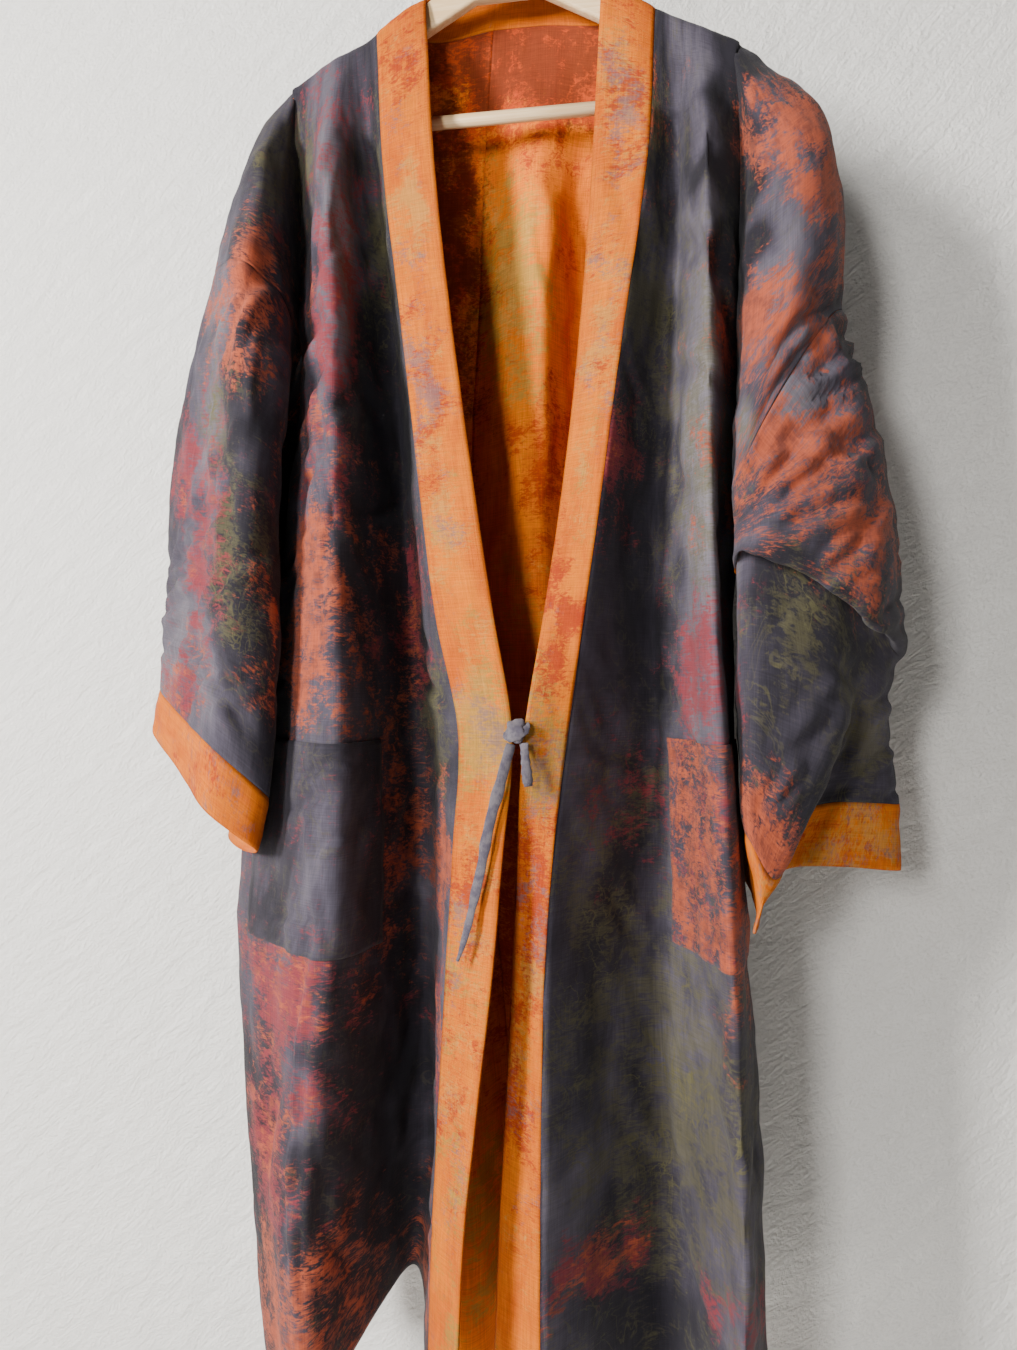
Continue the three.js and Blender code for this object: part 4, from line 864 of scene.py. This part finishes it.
colours = {
    "charcoal": (0.014, 0.0125, 0.018, 1), "lilac": (0.064, 0.056, 0.078, 1),
    "orange": (0.32, 0.064, 0.026, 1), "brick": (0.18, 0.040, 0.022, 1),
    "crimson": (0.19, 0.024, 0.032, 1), "olive": (0.080, 0.072, 0.032, 1),
    "dye": (0.53, 0.128, 0.000, 1), "dyeDeep": (0.40, 0.072, 0.001, 1),
    "apricot": (0.38, 0.175, 0.034, 1),
    "salmon": (0.38, 0.085, 0.036, 1), "dyeRed": (0.27, 0.022, 0.005, 1), "moss": (0.23, 0.160, 0.030, 1),
    # umber is the colour of painted shade on the robe's inside; mist is the palest grey of the print,
    # which the painted highlights also reach.
    "smoke": (0.15, 0.090, 0.088, 1), "paintedShadeUmber": (0.060, 0.016, 0.006, 1), "mist": (0.150, 0.138, 0.150, 1),
    "tie": (0.120, 0.106, 0.120, 1), "wood": (0.78, 0.60, 0.37, 1), "woodDark": (0.62, 0.42, 0.22, 1),
    "steel": (0.62, 0.63, 0.65, 1), "plaster": (0.93, 0.915, 0.88, 1), "floor": (0.72, 0.71, 0.69, 1),
}


threads = 7400.0  # radians of weave to the metre
weaveRelief = {"distance": 0.0003, "strength": 0.5}


def newFinish(name, roughness, sheen=0.0, metallic=0.0):
    finish = bpy.data.materials.new(name)
    finish.use_nodes = True
    tree = finish.node_tree
    tree.nodes.clear()
    shader = place(tree, "ShaderNodeBsdfPrincipled")
    shader.inputs["Roughness"].default_value = roughness
    shader.inputs["Metallic"].default_value = metallic
    shader.inputs["Sheen Weight"].default_value = sheen
    shader.inputs["Sheen Roughness"].default_value = 0.45
    shader.inputs["Specular IOR Level"].default_value = 0.2
    out = place(tree, "ShaderNodeOutputMaterial")
    feed(tree, out.inputs["Surface"], shader.outputs[0])
    return finish, tree, shader


def raise_(tree, shader, height, distance, strength):
    bump = place(tree, "ShaderNodeBump")
    feed(tree, bump.inputs["Height"], height)
    bump.inputs["Distance"].default_value = distance
    bump.inputs["Strength"].default_value = strength
    feed(tree, shader.inputs["Normal"], bump.outputs[0])


def zonesOf(tree, name):
    layer = place(tree, "ShaderNodeAttribute", attribute_name=name)
    split = place(tree, "ShaderNodeSeparateColor")
    feed(tree, split.inputs[0], layer.outputs["Color"])
    return *split.outputs, layer.outputs["Alpha"]


# Dark cotton with a mottled print, as on the outside of the robe, and painted light and shade: the zones'
# fourth channel lifts the tone towards lilac and mist on lit ridges and sinks it to charcoal in valleys
# and folds.
def printedCottonWithPaintedLight(name):
    finish, tree, shader = newFinish(name, 0.88, 0.06)
    cut = place(tree, "ShaderNodeTexCoord").outputs["UV"]
    # light is the painted light and shade channel of the zones.
    orange, red, olive, light = zonesOf(tree, "printAndPaintedLight")
    cloth = useGroup(tree, weave, Vector=cut, Threads=threads)
    # The tone is a random cloud plus this painted light and shade; its palest part turns to mist.
    field = calc(tree, "MULTIPLY_ADD", light, 0.62, cloud(tree, cut, 7, 7, 0.66, (1, 0.5, 1), twist=0.5))
    tone = step(tree, field, 0.66, 0.98)
    colour = blend(tree, tone, colours["charcoal"], colours["lilac"])
    pale = calc(tree, "MULTIPLY", step(tree, field, 0.84, 1.2), 0.8)
    colour = blend(tree, pale, colour, colours["mist"])
    greenish = useGroup(tree, mottle, Vector=cut, Amount=olive, Shift=5.3)
    colour = blend(tree, calc(tree, "MULTIPLY", greenish.outputs[0], 0.55), colour, colours["olive"])
    spray = useGroup(tree, sprays, Vector=cut, Amount=calc(tree, "MULTIPLY_ADD", olive, 1.0, 0.22))
    colour = blend(tree, spray.outputs[0], colour, colours["olive"])
    crimson = useGroup(tree, mottle, Vector=cut, Amount=red, Shift=2.1)
    colour = blend(tree, calc(tree, "MULTIPLY", crimson.outputs[0], 0.85), colour, colours["crimson"])
    rust = useGroup(tree, mottle, Vector=cut, Amount=orange, Shift=0.0)
    hue = step(tree, cloud(tree, cut, 60, 5, 0.7), 0.36, 0.56)
    hue = blend(tree, hue, colours["brick"], colours["orange"])
    colour = blend(tree, calc(tree, "MULTIPLY", rust.outputs[0], 0.92), colour, hue)
    shade = blend(tree, 1.0, colour, cloth.outputs["Shade"], "MULTIPLY")
    feed(tree, shader.inputs["Base Color"], shade)
    raise_(tree, shader, cloth.outputs["Height"], **weaveRelief)
    return finish


# Orange dyed cotton, clouded with apricot, red and moss, and darkened by the zones' fourth share: a smoke
# tint on the band and cuffs, painted shade in umber on the inside.
def dyedCotton(name, edges=(), smoke=0.0, gain=1.0, dark="smoke"):
    finish, tree, shader = newFinish(name, 0.9, 0.0)
    cut = place(tree, "ShaderNodeTexCoord").outputs["UV"]
    apricot, red, olive, dusk = zonesOf(tree, "dyeAndPaintedShade")
    cloth = useGroup(tree, weave, Vector=cut, Threads=threads)
    tone = cloud(tree, cut, 30, 6, 0.7, (1, 0.35, 1))
    colour = blend(tree, step(tree, tone, 0.3, 0.66), colours["dyeDeep"], colours["dye"])
    # dusk is the fourth share, at least smoke: on the inside it paints shade.
    dusk = calc(tree, "MAXIMUM", dusk, smoke)
    layers = ((0.08, "salmon", 6.4, 0.6), (olive, "moss", 4.2, 0.75), (apricot, "apricot", 1.7, 0.75),
              (red, "dyeRed", 3.1, 0.85), (dusk, dark, 8.2, 0.72))
    for weight, name, shift, share in layers:
        area = useGroup(tree, mottle, Vector=cut, Amount=weight, Shift=shift)
        colour = blend(tree, calc(tree, "MULTIPLY", area.outputs[0], share), colour, colours[name])
    colour = blend(tree, 1.0, colour, (gain, gain, gain, 1), "MULTIPLY")
    colour = blend(tree, 1.0, colour, cloth.outputs["Shade"], "MULTIPLY")
    height = cloth.outputs["Height"]
    for offset in edges:
        row = useGroup(tree, stitches, Vector=cut, Offset=offset)
        colour = blend(tree, calc(tree, "MULTIPLY", row.outputs[0], 0.5), colour, colours["dyeDeep"])
        height = calc(tree, "SUBTRACT", height, row.outputs[0])
    feed(tree, shader.inputs["Base Color"], colour)
    raise_(tree, shader, height, **weaveRelief)
    return finish


def tapeCotton():
    finish, tree, shader = newFinish("tape_cotton", 0.8, 0.15)
    cut = place(tree, "ShaderNodeTexCoord").outputs["Object"]
    yarn = cloud(tree, cut, 1.0, 3, 0.6, (1500, 1500, 300))
    soft = cloud(tree, cut, 120, 3, 0.6)
    colour = blend(tree, step(tree, soft, 0.35, 0.65), colours["lilac"], colours["tie"])
    feed(tree, shader.inputs["Base Color"], colour)
    raise_(tree, shader, yarn, 0.0004, 0.6)
    return finish


def paleWood():
    finish, tree, shader = newFinish("pale_wood", 0.42)
    spot = place(tree, "ShaderNodeTexCoord").outputs["Object"]
    grain = cloud(tree, spot, 1.0, 5, 0.6, (14, 420, 420), twist=0.6)
    broad = cloud(tree, spot, 1.0, 3, 0.5, (6, 60, 60))
    colour = blend(tree, step(tree, calc(tree, "MULTIPLY_ADD", broad, 0.5, grain), 0.5, 0.95),
                   colours["wood"], colours["woodDark"])
    feed(tree, shader.inputs["Base Color"], colour)
    raise_(tree, shader, grain, 0.0002, 0.3)
    return finish


def steelFinish():
    finish, tree, shader = newFinish("steel", 0.28, metallic=1.0)
    spot = place(tree, "ShaderNodeTexCoord").outputs["Object"]
    brushed = cloud(tree, spot, 1.0, 3, 0.6, (2500, 2500, 120))
    shader.inputs["Base Color"].default_value = colours["steel"]
    feed(tree, shader.inputs["Roughness"], calc(tree, "MULTIPLY_ADD", brushed, 0.2, 0.18))
    return finish


printed = printedCottonWithPaintedLight("printed_cotton_painted_light")
inner = dyedCotton("inner_cotton_painted_shade", gain=1.4, dark="paintedShadeUmber")
bandDye = dyedCotton("band_cotton", (0.004, 0.046), smoke=0.1)
cuffDye = dyedCotton("cuff_cotton", smoke=0.26)
tape, wood, metal = tapeCotton(), paleWood(), steelFinish()
print("finishes done")


# ---- tie: two ends and a knot, first of all the pieces because the long end is a free cord ----
tie = {"thick": 2.6, "sides": 16, "length": 0.183, "wide": 0.010,
       "long": [(20.5, -104, -807), (17, -105.6, -820), (12, -108, -840), (6, -109, -862),
                (1, -109, -884), (-3, -109, -906), (-8, -109, -928), (-13, -109, -950),
                (-19, -109, -972), (-23, -109, -984)],
       "short": [(31, -103.4, -806.2), (32, -104.6, -816), (33.5, -105.5, -829), (35, -105, -841)],
       "knot": (25, -103.2, -796), "knotSize": (9.5, 6, 10.5)}


def routePoints(route, count):
    points = np.array([route], dtype=float)
    return spline(knotsOf(points), points, np.linspace(0, knotsOf(points)[0, -1], count)[None])[0]


# A soft tape along a route, as a closed tube; width at each end and a slow roll.
def tapeInto(bm, route, widths, thick, roll=(0, 0), count=40):
    path = routePoints(route, count)
    along = np.gradient(path, axis=0)
    along /= np.linalg.norm(along, axis=1)[:, None]
    face = np.array([0, -1.0, 0])
    side = np.cross(along, face)
    side /= np.linalg.norm(side, axis=1)[:, None]
    out = np.cross(side, along)
    t = np.linspace(0, 1, count)[:, None]
    turn = np.radians(roll[0] + (roll[1] - roll[0]) * t)
    side, out = side * np.cos(turn) + out * np.sin(turn), out * np.cos(turn) - side * np.sin(turn)
    angle = np.linspace(0, 2 * np.pi, tie["sides"] + 1)
    wide = np.interp(t[:, 0], np.linspace(0, 1, len(widths)), widths)[:, None] / 2
    wide = wide * (1 + 0.08 * np.sin(t * 31) + 0.05 * np.sin(t * 57))
    c, s = np.cos(angle)[None, :, None], np.sin(angle)[None, :, None]
    # the tape's faces are hollowed a little, because it is folded lengthwise
    hollow = 1 - 0.35 * c ** 2
    ring = path[:, None] + side[:, None] * c * wide[:, None] + out[:, None] * s * hollow * thick / 2
    gridInto(bm, ring, False)
    bmesh.ops.remove_doubles(bm, verts=bm.verts, dist=0.00005)
    bmesh.ops.holes_fill(bm, edges=[edge for edge in bm.edges if edge.is_boundary])
    return path


def finishPiece(bm, name, material, node):
    bmesh.ops.recalc_face_normals(bm, faces=bm.faces)
    data = bpy.data.meshes.new(name)
    bm.to_mesh(data)
    bm.free()
    data.shade_smooth()
    data.materials.append(material)
    piece = bpy.data.objects.new(name, data)
    bpy.context.collection.objects.link(piece)
    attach(piece, "root")
    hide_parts(node)
    return piece


bm = bmesh.new()
longPath = tapeInto(bm, tie["long"], (7.5, 9.4, 9, 8.4, 8, 6.5, 3.2), tie["thick"], (25, -20), 60)
longEnd = finishPiece(bm, "tieLongEnd", tape, "tie_long_end")

bm = bmesh.new()
tapeInto(bm, tie["short"], (7.5, 7, 7.5, 9, 8), tie["thick"] + 0.8, (-15, 30), 24)
finishPiece(bm, "tieShortEnd", tape, "tie_short_end")

bm = bmesh.new()
made = bmesh.ops.create_icosphere(bm, subdivisions=4, radius=1)["verts"]
for vert in made:
    p = vert.co.copy()
    fold = 0.10 * math.sin(6 * p.z + 3 * p.x) + 0.16 * noise.noise(p * 1.7)
    p *= 1 + fold
    vert.co = Vector([(c + p[i] * r * 0.92) * mm for i, (c, r) in
                      enumerate(zip(tie["knot"], tie["knotSize"]))])
kx, ky, kz = tie["knot"]
wrap = [(kx + 8.2 * math.cos(a), ky - 4.9 * math.sin(a), kz + 5.5 * math.cos(a + 0.9)) for a in
        np.linspace(-0.5, math.pi + 0.5, 9)]
tapeInto(bm, wrap, (5, 7.5, 8, 7.5, 5), 2.2, (0, 0), 30)
finishPiece(bm, "tieKnot", tape, "tie_knot")
print("tie done")

# ---- hanger ----
hanger = {"halfDepth": 6, "depth": 28, "reach": 200, "railRadius": 6, "railHeight": -241, "railHalf": 166,
          "edge": 3, "wire": 1.75, "hookInside": 21, "ferrule": 6, "ferruleHeight": 7}


def armOutline():
    reach, rail = hanger["reach"], hanger["railHalf"]
    top = lambda x: shoulderApex - armClearance - shoulderSlope * abs(x)
    bottom = lambda x: top(x) - hanger["depth"]
    foot = hanger["railHeight"] - hanger["railRadius"] - 7
    half = [(6, top(6)), (60, top(60)), (120, top(120)), (reach - 17, top(reach - 17)),
            (reach - 5, top(reach) - 0.5), (reach, top(reach) - 12), (reach - 3, foot + 8),
            (reach - 12, foot), (rail + 2, foot), (rail + 0.5, hanger["railHeight"] + 14),
            (120, bottom(120)), (60, bottom(60)), (30, bottom(30))]
    return half[::-1] + [(-x, z) for x, z in half]


bm = bmesh.new()
corners = [bm.verts.new((x * mm, -hanger["halfDepth"] * mm, z * mm)) for x, z in armOutline()]
board = bm.faces.new(corners)
made = bmesh.ops.extrude_face_region(bm, geom=[board])["geom"]
bmesh.ops.translate(bm, verts=[v for v in made if isinstance(v, bmesh.types.BMVert)],
                    vec=(0, 2 * hanger["halfDepth"] * mm, 0))
bmesh.ops.recalc_face_normals(bm, faces=bm.faces)
rims = [edge for edge in bm.edges if len(edge.link_faces) == 2 and edge.calc_face_angle() > 1.2
        and abs(edge.verts[0].co.y - edge.verts[1].co.y) < 1e-5]
bmesh.ops.bevel(bm, geom=rims, offset=hanger["edge"] * mm, offset_type="OFFSET", segments=4, profile=0.5,
                affect="EDGES", material=-1)
arms = finishPiece(bm, "hangerArms", wood, "hanger_arms")

bm = bmesh.new()
bmesh.ops.create_cone(bm, cap_ends=True, segments=32, radius1=hanger["railRadius"] * mm,
                      radius2=hanger["railRadius"] * mm, depth=2 * hanger["railHalf"] * mm)
bmesh.ops.rotate(bm, verts=bm.verts, cent=(0, 0, 0),
                 matrix=Matrix.Rotation(math.radians(90), 3, "Y"))
bmesh.ops.translate(bm, verts=bm.verts, vec=(0, 0, hanger["railHeight"] * mm))
finishPiece(bm, "hangerRail", wood, "hanger_rail")

armTop = shoulderApex - armClearance - shoulderSlope * hanger["ferrule"]
bm = bmesh.new()
bmesh.ops.create_cone(bm, cap_ends=True, segments=28, radius1=hanger["ferrule"] * mm,
                      radius2=hanger["ferrule"] * 0.75 * mm, depth=hanger["ferruleHeight"] * mm)
bmesh.ops.bevel(bm, geom=[edge for edge in bm.edges if edge.calc_face_angle() > 1.0], offset=0.8 * mm,
                offset_type="OFFSET", segments=3, profile=0.5, affect="EDGES", material=-1)
bmesh.ops.translate(bm, verts=bm.verts, vec=(0, 0, (armTop + 0.3 + hanger["ferruleHeight"] / 2) * mm))
finishPiece(bm, "hangerFerrule", metal, "hanger_ferrule")


def hookRoute():
    radius = hanger["hookInside"] + hanger["wire"]
    centre = -hanger["hookInside"]
    foot = armTop + hanger["ferruleHeight"] + 0.6
    start = -0.25 * math.pi
    at = lambda a: (radius * math.cos(a), 0, centre + radius * math.sin(a))
    first = at(start)
    stem = [(0, 0, foot), (0, 0, foot + 6), (0, 0, foot + 12)]
    bend = []
    a, b, c, d = (np.array(p, dtype=float) for p in ((0, 0, foot + 12), (0, 0, foot + 22),
                                                     (first[0] - 7, 0, first[2] - 7), first))
    for t in np.linspace(0.15, 0.9, 6):
        bend.append(tuple(a * (1 - t)**3 + 3 * b * t * (1 - t)**2 + 3 * c * t**2 * (1 - t) + d * t**3))
    return stem + bend + [at(start + i / 24 * 1.3 * math.pi) for i in range(25)]


line = bpy.data.curves.new("hangerHook", "CURVE")
line.dimensions = "3D"
line.bevel_depth = hanger["wire"] * mm
line.bevel_resolution = 6
line.use_fill_caps = True
wire = line.splines.new("POLY")
route = hookRoute()
wire.points.add(len(route) - 1)
for point, place_ in zip(wire.points, route):
    point.co = (*[value * mm for value in place_], 1)
line.materials.append(metal)
hook = bpy.data.objects.new("hangerHook", line)
bpy.context.collection.objects.link(hook)
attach(hook, "root")
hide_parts("hanger_hook")
print("hanger done")

# ---- the robe's pieces ----
flat = {"front": (0.36, 1.27), "back": (0.38, 1.25), "sleeve": (0.56, 0.40), "cuff": (0.50, 0.058),
        "pocket": (0.20, 0.185), "band": (0.05, 2.74)}
thick = {"cloth": 0.9, "cuff": 1.5, "band": 2.2}
# where each piece starts across the printed cloth
pattern = {"left": 0, "right": 3000, "back": 900, "sleeve": 1500, "pocket": 700,
           "band": {"left": 0, "right": 4000}, "neckBand": {"left": -600, "right": 3400}}
full = {"cuff": 0.5, "band": 0.9, "pucker": 0.5}  # how far doubled cloth swells
# Pocket shares: orange, red, olive, then painted light and shade, 0.5 for none; the left pocket's 0.42 is
# painted shade.
pocket = {"top": -808, "bottom": -990, "left": (1.5, 3.5), "right": (1.25, 3.5), "lift": 1.3,
          "leftZones": (0.0, 0.12, 0.1, 0.42), "rightZones": (0.56, 0.3, 0.1, 0.5)}


def hold(piece, cut, *nodes):
    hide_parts(*nodes)


def endOf(points):
    return np.linalg.norm(np.diff(points, axis=1), axis=2).mean(0).sum()


for side, half in halves.items():
    grids, flip = garment[side], half["flip"]
    start = pattern[side]
    edge = start + endOf(grids["front"])
    piece = clothPiece(f"{side}Front", [(grids["front"], (start, 0)), (grids["capFront"], (edge, 0))],
                       [flip, flip], [printed, inner], thick["cloth"])
    hold(piece, flat["front"], f"{side}_front")
    edge = start + pattern["back"]
    capEdge = edge - endOf(grids["capBack"])
    piece = clothPiece(f"{side}Back", [(grids["back"], (edge, 0)), (grids["capBack"], (capEdge, 0))],
                       [flip, flip], [printed, inner], thick["cloth"])
    hold(piece, flat["back"], f"{side}_back")
    piece = clothPiece(f"{side}Sleeve", [(grids["sleeve"], (start + pattern["sleeve"], 0))], [flip],
                       [printed, inner], thick["cloth"])
    hold(piece, flat["sleeve"], f"{side}_sleeve")
    puff = lambda points, fade: full["cuff"] * np.sqrt(fade)
    piece = clothPiece(f"{side}Cuff", [(grids["cuff"].transpose(1, 0, 2), (0, start))], [not flip],
                       [cuffDye], thick["cuff"], dye="band", bulge=puff)
    hold(piece, flat["cuff"], f"{side}_cuff")

    s = bodyRows(half)[0]
    top, bottom = (int(np.abs(s - rowAt(pocket[name])).argmin()) for name in ("top", "bottom"))
    marks = np.concatenate([[0], np.cumsum(mesh["panel"])])
    first, last = (int(round(np.interp(place_, range(5), marks))) for place_ in pocket[side])
    patch = grids["front"][top:bottom + 1, first:last + 1]
    piece = clothPiece(f"{side}Pocket", [(patch, (start + pattern["pocket"], 300))], [flip], [printed],
                       thick["cloth"], lift=pocket["lift"], faded=False,
                       printed=np.array([pocket[f"{side}Zones"]]))
    hold(piece, flat["pocket"], f"{side}_pocket")
    print(side, "half done")


# The band is doubled cloth: a little full between its edges, with small puckers across it.
def bandFullness(points, fade):
    pucker = noiseOver(points, (60, 60, 9), 5) + noiseOver(points, (30, 30, 22), 6)
    return full["band"] * np.sqrt(fade) + full["pucker"] * pucker * fade


bandGrids, bandFlips = [], []
for side, half in halves.items():
    bandGrids += [(garment[side]["band"], (0, pattern["band"][side])),
                  (garment[side]["neckBand"].transpose(1, 0, 2), (0, pattern["neckBand"][side]))]
    bandFlips += [half["flip"], not half["flip"]]
piece = clothPiece("collarBand", bandGrids, bandFlips, [bandDye], thick["band"], dye="band",
                   bulge=bandFullness, strength=0.6)
hold(piece, flat["band"], "collar_band")
print("robe done")

# ---- stage: plaster wall behind, pale floor ----
stage = {"wall": 0.17, "floor": -1.72, "half": 3.2, "rise": 4.2, "depth": 5}


def stagePlane(name, corners, colour, roughness, bump):
    bm = bmesh.new()
    bmesh.ops.create_grid(bm, x_segments=1, y_segments=1, size=1)
    for vert, corner in zip(sorted(bm.verts, key=lambda v: (v.co.y, v.co.x)), corners):
        vert.co = corner
    data = bpy.data.meshes.new(name)
    bm.to_mesh(data)
    bm.free()
    finish, tree, shader = newFinish(name, roughness)
    spot = place(tree, "ShaderNodeTexCoord").outputs["Object"]
    turned = place(tree, "ShaderNodeMapping")
    feed(tree, turned.inputs["Vector"], spot)
    feed(tree, turned.inputs["Rotation"], (0, 0.7, 0))
    trowel = cloud(tree, turned.outputs[0], 34, 9, 0.72, (0.6, 1, 1.9), twist=0.5)
    grit = cloud(tree, spot, 240, 3, 0.6)
    shader.inputs["Base Color"].default_value = colours[colour]
    raise_(tree, shader, calc(tree, "MULTIPLY_ADD", grit, 0.25, trowel), bump, 0.6)
    behind = place(tree, "ShaderNodeNewGeometry").outputs["Backfacing"]
    clear = place(tree, "ShaderNodeBsdfTransparent")
    mix = place(tree, "ShaderNodeMixShader")
    feed(tree, mix.inputs[0], behind)
    feed(tree, mix.inputs[1], shader.outputs[0])
    feed(tree, mix.inputs[2], clear.outputs[0])
    out = [node for node in tree.nodes if node.type == "OUTPUT_MATERIAL"][0]
    feed(tree, out.inputs["Surface"], mix.outputs[0])
    data.materials.append(finish)
    plane = bpy.data.objects.new(name, data)
    bpy.context.collection.objects.link(plane)


h, w, f = stage["half"], stage["wall"], stage["floor"]
top, near = f + stage["rise"], w - stage["depth"]
stagePlane("wall", [(-h, w, f), (h, w, f), (-h, w, top), (h, w, top)], "plaster", 0.9, 0.034)
stagePlane("floor", [(-h, near, f), (h, near, f), (-h, w, f), (h, w, f)], "floor", 0.7, 0.001)

# ---- light: soft daylight from the left and a little in front, low fill ----
lamps = {
    "window": {"place": (-1.6, -1.9, 0.0), "aim": (0.0, 0, -0.72), "size": (0.45, 0.9), "power": 150,
               "colour": (1.0, 0.975, 0.94)},
    "front": {"place": (-0.75, -2.75, -0.2), "aim": (0.0, 0, -0.7), "size": (0.4, 0.7), "power": 62,
              "colour": (1.0, 0.98, 0.955)},
}
for name, lamp in lamps.items():
    light = bpy.data.lights.new(name, "AREA")
    light.shape = "RECTANGLE"
    light.size, light.size_y = lamp["size"]
    light.energy = lamp["power"]
    light.color = lamp["colour"]
    thing = bpy.data.objects.new(name, light)
    thing.location = lamp["place"]
    towards = Vector(lamp["aim"]) - Vector(lamp["place"])
    thing.rotation_euler = towards.to_track_quat("-Z", "Y").to_euler()
    bpy.context.collection.objects.link(thing)
world = bpy.data.worlds.new("room")
world.use_nodes = True
sky = world.node_tree.nodes["Background"]
sky.inputs["Color"].default_value = (0.86, 0.91, 1.0, 1)
sky.inputs["Strength"].default_value = 0.03
bpy.context.scene.world = world
print("stage and light done")
